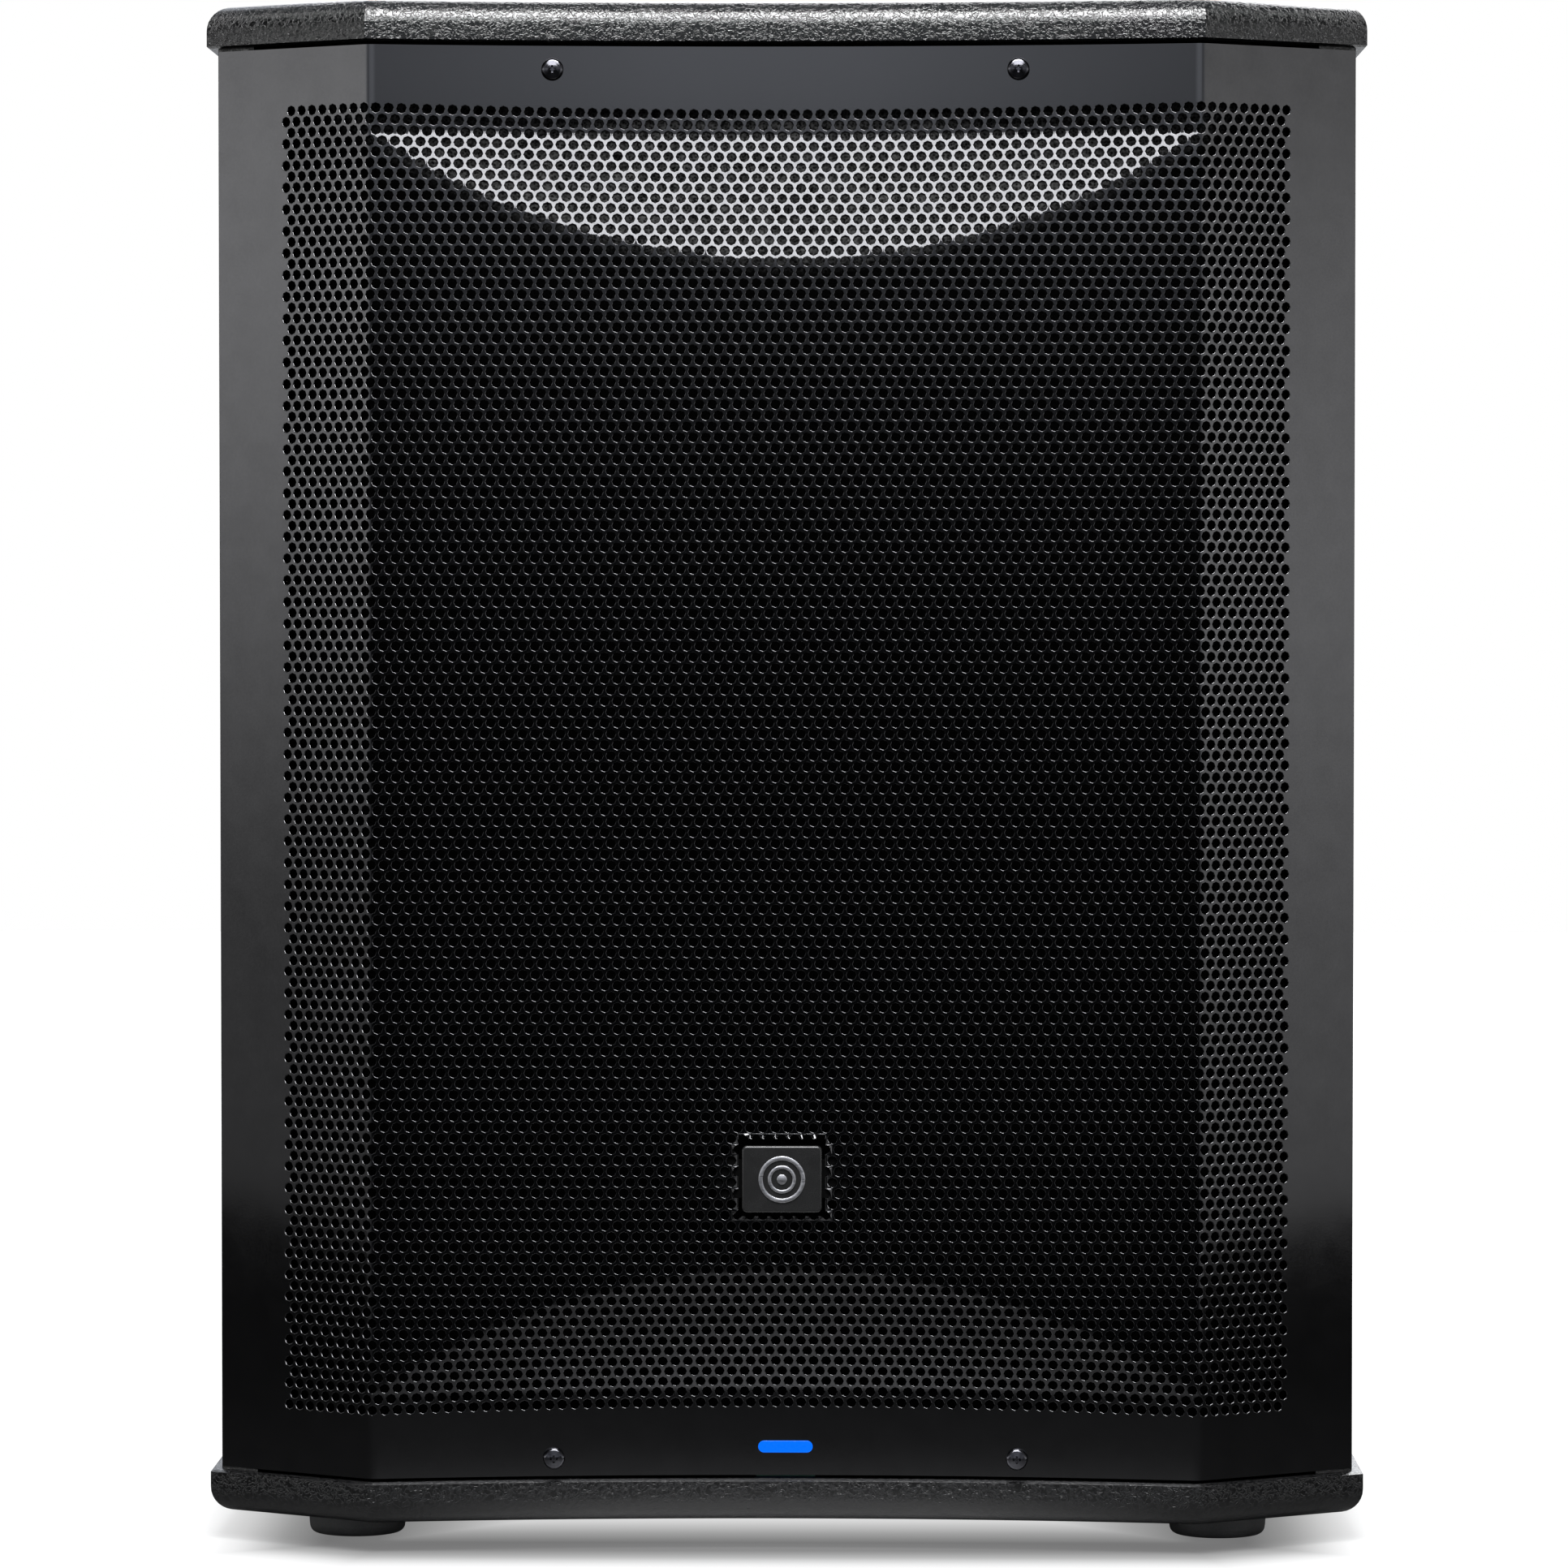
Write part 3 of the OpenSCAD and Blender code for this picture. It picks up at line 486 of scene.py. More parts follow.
def perforate(m, row, left, hole_s, hole_t, front, back, front_n):
    """A cell of six sides round each hole, on both faces, with the hole's rounded rim and its wall."""
    turn = np.arange(SIDES) * 2 * pi / SIDES
    way_s, way_t = np.cos(turn)[None], np.sin(turn)[None]
    axis = sheet_normal(hole_s, hole_t)
    out_s, out_t = hole_s[:, None] + (HOLE_R + RIM) * way_s, hole_t[:, None] + (HOLE_R + RIM) * way_t
    in_s, in_t = hole_s[:, None] + HOLE_R * way_s, hole_t[:, None] + HOLE_R * way_t
    face_n = sheet_normal(out_s, out_t)
    inner = sheet_point(in_s, in_t) - RIM * axis[:, None]
    deep = sheet_point(in_s, in_t) - SHEET * axis[:, None]
    wall_n = unit(inner.mean(1, keepdims=True) - inner)
    a, b, c = m.add(sheet_point(out_s, out_t)), m.add(inner), m.add(deep)

    around = [(0, 1), (0, 2), (1, 2), (1, 1), (1, 0), (0, 0)]  # top middle, then clockwise from the front
    # each side of the cell's outline meets these points of the hole, clockwise from the top
    meets = [(2, 1), (1, 0, 7), (7, 6), (6, 5), (5, 4, 3), (3, 2)]
    for (p, q), ring in zip(steps_round(around), meets):
        ends = [(row + dj, left + dk) for dj, dk in (p, q)]
        for grid, ids, side in ((front, a, 1), (back, c, -1)):
            loop = [grid[e] for e in ends] + [ids[:, i] for i in ring[::-1]]
            norm = [front_n[e] for e in ends] + [face_n[:, i] for i in ring[::-1]]
            m.face(np.stack(loop[::-side], -1), side * np.stack(norm[::-side], 1))
    nxt = np.roll(np.arange(SIDES), -1)
    for high, low, high_n in ((a, b, face_n), (b, c, wall_n)):
        m.face(np.stack([high, high[:, nxt], low[:, nxt], low], -1).reshape(-1, 4),
               np.stack([high_n, high_n[:, nxt], wall_n[:, nxt], wall_n], 2).reshape(-1, 4, 3))


def add_bands(m, s_of_k, t_of_j, front, back, front_n):
    """Plain bands: one more line of points on every side, and the sheet's edge."""
    rim_s = np.concatenate([[-EDGE_S], s_of_k, [EDGE_S]])
    rim_t = np.concatenate([[np.nan], t_of_j, [np.nan]])
    end_i, end_k = len(rim_t) - 1, len(rim_s) - 1
    f_ids, b_ids, n_all = (np.pad(grid, ((1, 1), (1, 1), (0, 0))[:grid.ndim]) for grid in (front, back, front_n))
    for i in range(end_i + 1):
        for k in ((0, end_k) if 0 < i < end_i else range(end_k + 1)):
            z = EDGE_Z[1] if i == 0 else EDGE_Z[0] if i == end_i else None
            s, t = np.array(rim_s[k]), np.array(rim_t[i])
            p = sheet_point(s, t, None if z is None else np.array(z))
            n = sheet_normal(s, t if z is None else np.array((z - MID_Z) * 0.99 + MID_Z))
            f_ids[i, k], b_ids[i, k], n_all[i, k] = m.add(p), m.add(p - SHEET * n), n
    band = np.ones((end_i, end_k), bool)
    band[1:-1, 1:-1] = False
    band_i, band_k = np.nonzero(band)
    for grid, side in ((f_ids, 1), (b_ids, -1)):
        at = [(band_i + i, band_k + k) for i, k in ((0, 0), (1, 0), (1, 1), (0, 1))][::side]
        m.face(np.stack([grid[p] for p in at], -1), side * np.stack([n_all[p] for p in at], 1))
    for p, q in steps_round(grid_edge(*f_ids.shape)):
        along = np.array([rim_s[q[1]] - rim_s[p[1]], 0, (p[0] - q[0]) * ROW])
        m.face([[f_ids[p], b_ids[p], b_ids[q], f_ids[q]]], unit(np.cross(along, n_all[p])))


def open_window(m, gone, s_of_k, t_of_j, front, back, front_n):
    """Fills the sheet between the cells left out at the badge and the edge of its opening."""
    cells = [(i, 2 * col + (i + 1) % 2) for i, col in zip(*np.nonzero(gone))]
    follow = dict(open_edges([(i, k), (i + 1, k), (i + 1, k + 1), (i + 1, k + 2), (i, k + 2), (i, k + 1)]
                             for i, k in cells))
    rim = [next(iter(follow))]
    while follow[rim[-1]] != rim[0]:
        rim.append(follow[rim[-1]])
    centre = ((WINDOW[0] + WINDOW[1]) / 2, (WINDOW[2] + WINDOW[3]) / 2)
    inner_loop = window_outline(centre)
    outer_loop = [(s_of_k[k], t_of_j[i]) for i, k in rim]
    flat = np.array(outer_loop + inner_loop)
    n_out, n_in = len(outer_loop), len(inner_loop)
    loops = [(i, (i + 1) % n_out) for i in range(n_out)]
    loops += [(n_out + i, n_out + (i + 1) % n_in) for i in range(n_in)]
    _, _, tris, _, _, _ = delaunay_2d_cdt([Vector(p) for p in flat], loops, [], 0, 1e-7)
    where = sheet_point(*flat.T)
    base, ahead = where[n_out:], np.array([0.0, -1, 0])
    w_front, w_back = m.add(base), m.add(base - SHEET * ahead)
    on_rim = tuple(np.transpose(rim))
    top, under = np.concatenate([front[on_rim], w_front]), np.concatenate([back[on_rim], w_back])
    corner_n = np.concatenate([front_n[on_rim], sheet_normal(*flat[n_out:].T)])
    for tri in tris:
        tri = list(tri)
        middle = flat[tri].mean(0)
        if inside(middle, inner_loop) or not inside(middle, outer_loop):
            continue
        if np.cross(flat[tri[1]] - flat[tri[0]], flat[tri[2]] - flat[tri[0]]) < 0:
            tri = tri[::-1]
        n = np.cross(where[tri[1]] - where[tri[0]], where[tri[2]] - where[tri[0]])
        n = n / max(np.linalg.norm(n), 1e-12)
        m.face([top[tri]], corner_n[tri] if (corner_n[tri] @ n > 0.8).all() else n)
        m.face([under[tri][::-1]], -n)
    for i in range(n_in):
        q = (i + 1) % n_in
        m.face([[w_front[q], w_front[i], w_back[i], w_back[q]]], unit(np.cross(base[q] - base[i], ahead)))


def inside(point, loop):
    """Whether a flat point is within a closed line."""
    hit = False
    for (x0, y0), (x1, y1) in steps_round(loop):
        if (y0 > point[1]) != (y1 > point[1]) and point[0] < (x1 - x0) * (point[1] - y0) / (y1 - y0) + x0:
            hit = not hit
    return hit


# ---------------------------------------------------------------- plan of the top and bottom panels

FRONT_Y, REAR_Y, HALF_W = -0.320, 0.320, 0.275
CAP_FOLD_X = FOLD_X + 0.005 * tan(WING / 2)
CAP_HOLLOW = HOLLOW - 0.0008
CAP_ARC_R = (CAP_FOLD_X**2 + CAP_HOLLOW**2) / (2 * CAP_HOLLOW)
CAP_R, CAP_T = 0.012, 0.020  # rounding and thickness
BODY_TOP, BASE_TOP = 0.730, 0.033  # upper faces of the top and bottom caps


def cap_outline(step=0.006):
    """The plan of a cap, from the left end of its hollow front clockwise as seen from above."""
    wing_end = FRONT_Y + (HALF_W - CAP_FOLD_X) * tan(WING)
    arc_y = FRONT_Y + CAP_HOLLOW - CAP_ARC_R
    count = int(2 * CAP_FOLD_X / step)
    xs = [CAP_FOLD_X * (2 * i / count - 1) for i in range(count + 1)]
    line = [(x, arc_y + sqrt(CAP_ARC_R**2 - x * x)) for x in xs]
    line += [(HALF_W, wing_end), (HALF_W, REAR_Y), (-HALF_W, REAR_Y), (-HALF_W, wing_end)]
    return line


# ---------------------------------------------------------------- shapes


def offset_line(line, d):
    """The line moved inward by d, its corners mitred."""
    out = []
    for i, here in enumerate(line):
        a = (Vector(here) - Vector(line[i - 1])).normalized()
        b = (Vector(line[(i + 1) % len(line)]) - Vector(here)).normalized()
        na, nb = Vector((-a.y, a.x)), Vector((-b.y, b.x))
        mid = (na + nb) / (1 + na.dot(nb))
        out.append((here[0] + mid.x * d, here[1] + mid.y * d))
    return out


def loft(name, rings, around=False, sharp=30):
    """A mesh through closed loops of points. Its ends are closed, or the last loop joins the first one."""
    bm = bmesh.new()
    made = [[bm.verts.new(p) for p in ring] for ring in rings]
    pairs = list(zip(made, made[1:])) + ([(made[-1], made[0])] if around else [])
    for low, high in pairs:
        for i in range(len(low)):
            q = (i + 1) % len(low)
            bm.faces.new((low[i], low[q], high[q], high[i]))
    if not around:
        bm.faces.new(made[0][::-1])
        bm.faces.new(made[-1])
    bmesh.ops.recalc_face_normals(bm, faces=bm.faces)
    return smoothed(to_mesh(name, bm), sharp)


def smoothed(mesh, sharp=30):
    """The mesh with smooth faces, apart from edges sharper than an angle in degrees."""
    for f in mesh.polygons:
        f.use_smooth = True
    mesh.set_sharp_from_angle(angle=radians(sharp))
    return mesh


def to_mesh(name, bm):
    mesh = bpy.data.meshes.new(name)
    bm.to_mesh(mesh)
    bm.free()
    return mesh


def circle(r, n=48):
    return [(r * cos(2 * pi * i / n), r * sin(2 * pi * i / n)) for i in range(n)]


def round_rect(w, h, r, n=6):
    """Rectangle with round corners, counterclockwise round (0, 0)."""
    out = []
    for k, (sx, sy) in enumerate(((1, 1), (-1, 1), (-1, -1), (1, -1))):
        for i in range(n + 1):
            a = pi / 2 * (k + i / n)
            out.append((sx * (w / 2 - r) + r * cos(a), sy * (h / 2 - r) + r * sin(a)))
    return out


def lift(line, axis, at, centre=(0, 0)):
    """A flat line set at a place along an axis: x, y or z."""
    k = "xyz".index(axis)
    flat = [(centre[0] + a, centre[1] + b) for a, b in line]
    return [(*p[:k], at, *p[k:]) for p in flat]


def turned(name, profile, axis, centre, n=48, around=False, sharp=30):
    """A turned shape: its profile is a list of (radius, place along the axis)."""
    return loft(name, [lift(circle(r, n), axis, at, centre) for r, at in profile], around, sharp)


def quarter(steps):
    """A rounded edge: how far it has drawn in and risen at each step, as shares of its radius."""
    turns = [pi / 2 * i / steps for i in range(1, steps + 1)]
    return [(1 - cos(a), sin(a)) for a in turns]


def seen_box(node, up="z"):
    """A node's lowest and highest corners, and its middle seen from the front, or from above if up is y."""
    low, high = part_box(node)
    return low, high, ((low.x + high.x) / 2, (getattr(low, up) + getattr(high, up)) / 2)


def joined(name, meshes):
    """Several meshes as one."""
    bm = bmesh.new()
    for m in meshes:
        bm.from_mesh(m)
    return to_mesh(name, bm)


def carved(mesh, *cutters):
    """The mesh less the cutters."""
    obj = new_object("carving", mesh)
    knives = [new_object("knife", c) for c in cutters]
    for knife in knives:
        cut = obj.modifiers.new("cut", "BOOLEAN")
        cut.object, cut.operation, cut.solver = knife, "DIFFERENCE", "EXACT"
    bpy.context.view_layer.update()
    out = bpy.data.meshes.new_from_object(obj.evaluated_get(bpy.context.evaluated_depsgraph_get()))
    for o in (obj, *knives):
        bpy.data.objects.remove(o)
    return smoothed(out)


# ---------------------------------------------------------------- the caps' meshes


def make_cap(name, z_in, up):
    """A plywood cap with its outer edge rounded all round; up is 1 for the top one and -1 for the bottom one."""
    line = cap_outline()
    rings = [(0.0015, 0), (0, 0.0008), (0, CAP_T - CAP_R)]
    rings += [(CAP_R * drawn, CAP_T - CAP_R + CAP_R * rise) for drawn, rise in quarter(8)]
    rings += [(CAP_R + 0.002, CAP_T)]
    return loft(name, [[(x, y, z_in + up * rise) for x, y in offset_line(line, inset)] for inset, rise in rings])


def make_top_cap():
    """The top cap with the recess and the bore for the pole socket."""
    top, width, corner, recess, bore_r = BODY_TOP, 0.1206, 0.0083, 0.003, 0.0163
    line = round_rect(width, width, corner)
    plate = loft("recess", [lift(line, "z", top - recess), lift(line, "z", top + 0.01)])
    bore = turned("bore", [(bore_r, top - 0.03), (bore_r, top + 0.01)], "z", (0, 0))
    return carved(make_cap("top_cap", top - CAP_T, 1), plate, bore)


# ---------------------------------------------------------------- materials

DRIVER = (0, -0.232, 0.462)  # middle of the driver on the baffle's front face


def coat_look(g):
    """Rolled polyurethane coating: curly ridges a millimetre or two apart, their tops paler as a painted highlight,
    over a fine speckle.
    """
    at = g.place()
    swirl = g.noise(at, 430, 2.0, 0.55, 0.8)
    off = g.math("ABSOLUTE", g.minus(swirl, 0.5))
    ridge = g.ramp(off, [(0.0, 1.0), (0.03, 0.6), (0.10, 0.0)])
    speck = g.noise(at, 2400, 2.0, 0.6)
    # painted highlight: the ridge tops made paler, broken up by the speckle, for the light that they catch
    painted_ridge_highlight = g.times(ridge, g.ramp(speck, [(0.35, 0.0), (0.75, 1.0)]))
    tone = g.mix_color(painted_ridge_highlight, (0.001, 0.001, 0.0011), (0.016, 0.016, 0.0165))
    gloss = g.ramp(g.noise(at, 90, 2.0), [(0.3, 0.11), (0.7, 0.16)])
    return tone, gloss, g.mix_value(0.25, ridge, speck), 0.13


def foam_look(g):
    """Black open-cell foam, with painted light: paler in patches above the arc of the top crescent."""
    at = g.place()
    x, _, z = g.split(at)
    patch = g.times(g.noise(at, 120, 3.0), g.cells(at, 900))
    up = g.minus(z, g.times(g.times(x, x), 1.5))
    # painted light: the foam above the top crescent's arc is made paler, as if lit through the holes
    painted_lit_top = g.ramp(up, [(0.604, 0.0), (0.612, 1.0)])
    tone = g.mix_value(painted_lit_top, 0.0015, g.ramp(patch, [(0.10, 0.003), (0.42, 0.10)]))
    return tone, None, g.cells(at, 900), 0.5


def wood_look(g):
    """Birch plywood: long grain across the sheet, with its plies along the cut edges."""
    at = g.place((1, 1, 0.12))
    streak = g.noise(at, 260, 5.0, 0.65, 0.6)
    _, y, _ = g.split(g.place())
    ply = g.math("PINGPONG", g.times(y, 1 / (2.2 * MM)), 1.0)
    tone = g.ramp(g.mix_value(0.15, streak, ply), [(0.3, 0), (0.7, 1)])
    return g.mix_color(tone, (0.30, 0.18, 0.085), (0.58, 0.40, 0.22)), None, streak, 0.15


def cone_look(g):
    """Pressed paper pulp: rough fibres and a faint ring pattern about the driver's axis."""
    at = g.place()
    x, _, z = g.split(at)
    across, up = g.math("POWER", x, 2.0), g.math("POWER", g.minus(z, DRIVER[2]), 2.0)
    r = g.math("POWER", g.plus(across, up), 0.5)
    ring = g.math("PINGPONG", g.times(r, 1 / (9 * MM)), 1.0)
    fibre = g.noise(at, 900, 5.0, 0.7)
    tone = g.mix_color(fibre, (0.011, 0.011, 0.012), (0.03, 0.03, 0.031))
    return tone, None, g.mix_value(0.5, fibre, ring), 0.4


def weave_look(dark, light, pitch):
    """Plain weave: threads along two directions, pitch in millimetres."""

    def build(g):
        at = g.place()
        x, _, z = g.split(at)
        over, under = (g.math("SINE", g.times(v, 2 * pi * 1000 / pitch)) for v in (x, z))
        thread = g.math("MULTIPLY_ADD", g.times(over, under), 0.5, 0.5)
        return g.mix_color(g.mix_value(0.4, thread, g.noise(at, 400, 3.0)), dark, light), None, thread, 0.25

    return build


def board_look(g):
    """Green board with copper tracks and pale dots of solder."""
    at = g.place()
    track = g.ramp(g.noise(at, 190, 1.0, 0.4, 2.0), [(0.49, 0), (0.50, 1), (0.53, 1), (0.54, 0)])
    dots = g.ramp(g.cells(at, 260, smooth=False), [(0.16, 1), (0.2, 0)])
    base = g.mix_color(track, (0.008, 0.06, 0.022), (0.02, 0.13, 0.05))
    return g.mix_color(dots, base, (0.5, 0.5, 0.48)), None, g.plus(track, dots), 0.1


def brushed(low, high, rough, stretch):
    """Metal with fine lines along one direction."""

    def build(g):
        line = g.noise(g.place(stretch), 1500, 3.0, 0.6)
        return g.mix_color(line, low, high), g.ramp(line, [(0.3, rough[0]), (0.7, rough[1])]), line, 0.02

    return build


def coil_look(g):
    """Copper wire, turn beside turn along the driver's axis."""
    _, y, _ = g.split(g.place())
    turn = g.math("PINGPONG", g.times(y, 1 / (0.45 * MM)), 1.0)
    return g.mix_color(turn, (0.20, 0.07, 0.03), (0.78, 0.36, 0.20)), None, turn, 0.3


def lit_look(g):
    """Frosted lens: uneven gloss and a faint relief."""
    haze = g.noise(g.place(), 700, 2.0)
    return None, g.ramp(haze, [(0.3, 0.22), (0.7, 0.34)]), haze, 0.01


LOOKS = {
    "panel_coating": shader("textured_coating", (0.010, 0.010, 0.0105), 0.16, specular=0.46, build=coat_look),
    "grille_steel": shader("grille_paint", (0.06, 0.06, 0.062), 0.18, metal=1.0,
            build=grain((0.058, 0.058, 0.06), 0.10, (0.075, 0.115), 0.9, 0.003)),
    "foam": shader("open_cell_foam", (0.002, 0.002, 0.002), 0.95, specular=0.0, build=foam_look),
    "raw_plywood": shader("birch_plywood", (0.45, 0.3, 0.15), 0.6, specular=0.3, build=wood_look),
    "zinc_steel": grained("zinc_steel", (0.55, 0.56, 0.57), 0.35, 0.25, (0.28, 0.5), 9.0, 0.03, metal=1.0),
    "black_screw": grained("black_chrome", (0.07, 0.07, 0.078), 0.15, 0.2, (0.10, 0.2), 0.8, 0.008, metal=1.0),
    "badge_black": grained("badge_satin", (0.008, 0.008, 0.008), 0.25, 0.15, (0.22, 0.30), 0.5, 0.008),
    "emblem_silver": shader("brushed_silver", (0.5, 0.5, 0.52), 0.3, metal=1.0,
            build=brushed((0.40, 0.40, 0.42), (0.62, 0.62, 0.64), (0.26, 0.38), (0.1, 1, 1))),
    "bare_steel": shader("bare_steel", (0.42, 0.42, 0.43), 0.35, metal=1.0,
            build=brushed((0.36, 0.36, 0.37), (0.5, 0.5, 0.51), (0.28, 0.42), (1, 0.1, 1))),
    "circuit_board": shader("printed_board", (0.01, 0.07, 0.03), 0.4, build=board_look),
    "coated_steel": grained("powder_coat", (0.012, 0.012, 0.0125), 0.4, 0.25, (0.34, 0.5), 0.5, 0.05, specular=0.6),
    "rubber": grained("moulded_rubber", (0.06, 0.06, 0.06), 0.6, 0.3, (0.42, 0.6), 0.7, 0.04, specular=0.6),
    "cast_frame": grained("cast_frame_paint", (0.014, 0.014, 0.015), 0.42, 0.3, (0.35, 0.55), 1.6, 0.15),
    "doped_cloth": shader("doped_cloth", (0.01, 0.01, 0.01), 0.45,
            build=weave_look((0.005, 0.005, 0.005), (0.018, 0.018, 0.018), 0.9)),
    "spider_cloth": shader("spider_cloth", (0.5, 0.36, 0.12), 0.75,
            build=weave_look((0.32, 0.20, 0.05), (0.62, 0.46, 0.18), 0.8)),
    "paper": shader("paper_cone", (0.02, 0.02, 0.02), 0.75, specular=0.3, build=cone_look),
    "fibreglass": shader("glass_fibre", (0.5, 0.42, 0.2), 0.35,
            build=weave_look((0.42, 0.33, 0.13), (0.6, 0.52, 0.28), 0.5)),
    "copper": shader("copper_wire", (0.7, 0.3, 0.15), 0.3, metal=1.0, build=coil_look),
    "ferrite": grained("ferrite", (0.045, 0.045, 0.05), 0.6, 0.35, (0.5, 0.75), 2.0, 0.1),
    "black_plastic": grained("moulded_plastic", (0.013, 0.013, 0.0135), 0.45, 0.2, (0.4, 0.55), 0.6, 0.05),
    "cable_jacket": grained("cable_jacket", (0.015, 0.015, 0.015), 0.5, 0.3, (0.42, 0.6), 1.5, 0.05),
    "panel_metal": grained("panel_powder_coat", (0.013, 0.013, 0.014), 0.42, 0.2, (0.36, 0.5), 0.45, 0.06,
            specular=0.55),
    "heatsink_aluminium": shader("black_anodised", (0.03, 0.03, 0.033), 0.35, metal=0.7,
            build=brushed((0.022, 0.022, 0.024), (0.045, 0.045, 0.048), (0.3, 0.42), (1, 1, 0.05))),
    "knob_plastic": grained("knob_soft_touch", (0.015, 0.015, 0.016), 0.5, 0.15, (0.45, 0.6), 0.4, 0.02),
    "pointer_white": grained("pointer_white", (0.6, 0.6, 0.58), 0.5, 0.05, (0.45, 0.55), 0.6, 0.01),
    "rocker_plastic": grained("rocker_gloss", (0.012, 0.012, 0.012), 0.18, 0.15, (0.14, 0.24), 1.2, 0.01,
            specular=0.6),
    "wadding": shader("polyester_wadding", (0.6, 0.6, 0.58), 0.95, specular=0.1,
            build=grain((0.58, 0.58, 0.56), 0.25, (0.9, 1.0), 2.5, 1.2)),
    # painted shade: a near-black for the brackets behind the grille, so that they vanish into the shade of the gap
    # and the holes
    "painted_shade_black": grained("painted_shade_black", (0.002, 0.002, 0.002), 0.9, 0.3, (0.85, 0.95), 0.8, 0.02, specular=0.02),
    "led_blue": shader("lit_blue_lens", (0.0, 0.01, 0.05), 0.25, specular=0.1, build=lit_look,
            Emission_Color=(0.0, 0.155, 1.0, 1), Emission_Strength=1.0),
    "unlit_lens": shader("unlit_lens", (0.20, 0.22, 0.2), 0.2, build=lit_look),
}


def floor_look(g):
    """White where the camera sees it, with a painted shadow: a soft dark band under the front of the cabinet.

    In what the pieces mirror it is a painted pool of light: pale near the cabinet and dark far from it.
    """
    x, y, _ = g.split(g.place())
    ahead = g.plus(y, 0.25)
    away = g.math("SQRT", g.plus(g.times(x, x), g.times(ahead, ahead)))
    seen = g.node("LightPath").outputs["Is Camera Ray"]
    # painted pool of light, only in what the pieces mirror: pale near the cabinet, dark far off
    near = g.ramp(away, [(0.10, 0.55), (0.20, 0.16), (0.40, 0.03), (0.9, 0.008)])
    side = g.math("ABSOLUTE", x)
    # how far a point of the floor is outside the cabinet's plan
    front = g.minus(g.times(y, -1.0), 0.32)
    wing = g.minus(g.plus(g.times(side, 0.5), g.times(y, -0.87)), 0.377)
    out = g.most(g.most(front, wing), g.minus(side, 0.235))
    # painted shadow: darkest a little in front of the cabinet's edge, paler under it, white further out
    band = g.ramp(g.plus(out, 0.2), [(0.08, 0.9), (0.13, 0.42), (0.16, 0.22), (0.185, 0.20),
                                            (0.205, 0.36), (0.225, 0.66), (0.26, 1.0)])
    # behind the cabinet the mirrored floor is painted paler too
    near = g.most(near, g.ramp(y, [(0.35, 0.008), (0.8, 0.4)]))
    tone = g.mix_value(seen, near, g.times(band, 0.2))
    haze = g.ramp(away, [(0.12, 0.0), (0.45, 0.3), (1.0, 1.0)])
    # the camera sees the floor glow: white far off, darkened near the cabinet by the painted shadow
    glow = g.most(haze, g.times(band, 0.85))
    return tone, None, None, 0, g.times(seen, glow)


def make_stage():
    mesh = bpy.data.meshes.new("floor")
    half, near, far = 3.0, -0.95, 5.0
    mesh.from_pydata([(-half, near, 0), (half, near, 0), (half, far, 0), (-half, far, 0)], [], [(0, 1, 2, 3)])
    floor = new_object("floor", mesh)
    mesh.materials.append(shader("pale_floor", (0.7, 0.7, 0.7), 0.8, specular=0.1, build=floor_look,
                                 Emission_Color=(1, 1, 1, 1)))
    floor.location.z = -0.5 * MM


# ---------------------------------------------------------------- the other pieces


def make_foam():
    """Flat sheet of foam behind the pressed steel, bent at its sides to follow the wings."""
    m = Mesh()
    width, low, high, thick, gap = 0.486, 0.062, 0.682, 0.008, 0.0045
    s, z = np.meshgrid(np.linspace(-width / 2, width / 2, 83), np.linspace(low, high, 105))
    x, y = plan(s)
    y = np.maximum(FOAM_Y, y + gap)
    front = m.add(np.stack([x, y, z], -1))
    back = m.add(np.stack([x, y + thick, z], -1))
    for ids, way in ((front, -1), (back, 1)):
        corners = [ids[:-1, :-1], ids[1:, :-1], ids[1:, 1:], ids[:-1, 1:]][::way]
        m.face(np.stack(corners, -1).reshape(-1, 4), (0.0, float(way), 0.0))
    for p, q in steps_round(grid_edge(*front.shape)):
        m.face([[front[p], front[q], back[q], back[p]]], (0.0, 1.0, 0.0))
    return m.build("grille_foam_sheet")


def plate_y(w, h, r, y_back, y_front, centre, bevel):
    """A plate that faces the front, its front edge rounded."""
    rings = [lift(round_rect(w, h, r), "y", y_back, centre)]
    steps = [(bevel * drawn, bevel - bevel * rise) for drawn, rise in [(0, 0), *quarter(4)]]
    for shrink, back in steps + [(bevel + 0.0003, 0)]:
        line = round_rect(w - 2 * shrink, h - 2 * shrink, max(r - shrink, 0.0002))
        rings.append(lift(line, "y", y_front + back, centre))
    return rings


def make_badge():
    low, high, mid = seen_box("badge")
    return loft("badge_plate", plate_y(high.x - low.x, high.z - low.z, 0.0024, high.y, low.y, mid, 0.0009))


def make_mark():
    """A ring, a smaller ring and a dot, raised on the badge, each with a rounded edge."""
    low, high, mid = seen_box("badge_emblem")
    base, r, dot_r = high.y + 0.0002, 0.00028, 0.0024
    edge = [(drawn, low.y + back) for drawn, back in ((0, r), (0.3 * r, 0.3 * r), (r, 0))]
    made = []
    for inner, outer in ((0.009, 0.011), (0.005, 0.0066)):
        profile = [(inner, base)] + [(inner + drawn, y) for drawn, y in edge]
        profile += [(outer - drawn, y) for drawn, y in edge[::-1]] + [(outer, base)]
        made.append(turned("ring", profile, "y", mid, 72, around=True))
    made.append(turned("dot", [(dot_r, base)] + [(dot_r - drawn, y) for drawn, y in edge], "y", mid))
    return joined("badge_mark", made)


def make_light():
    """The pill-shaped lens with the flange that keeps it behind the sheet."""
    low, high, mid = seen_box("led_lens")
    front = plate_y(0.0258, 0.0057, 0.0028, high.y - 0.002, low.y, mid, 0.0004)
    flange = [lift(round_rect(0.034, 0.012, 0.002), "y", y, mid) for y in (high.y, high.y - 0.0022)]
    return joined("power_light", [loft("front", front), loft("flange", flange)])


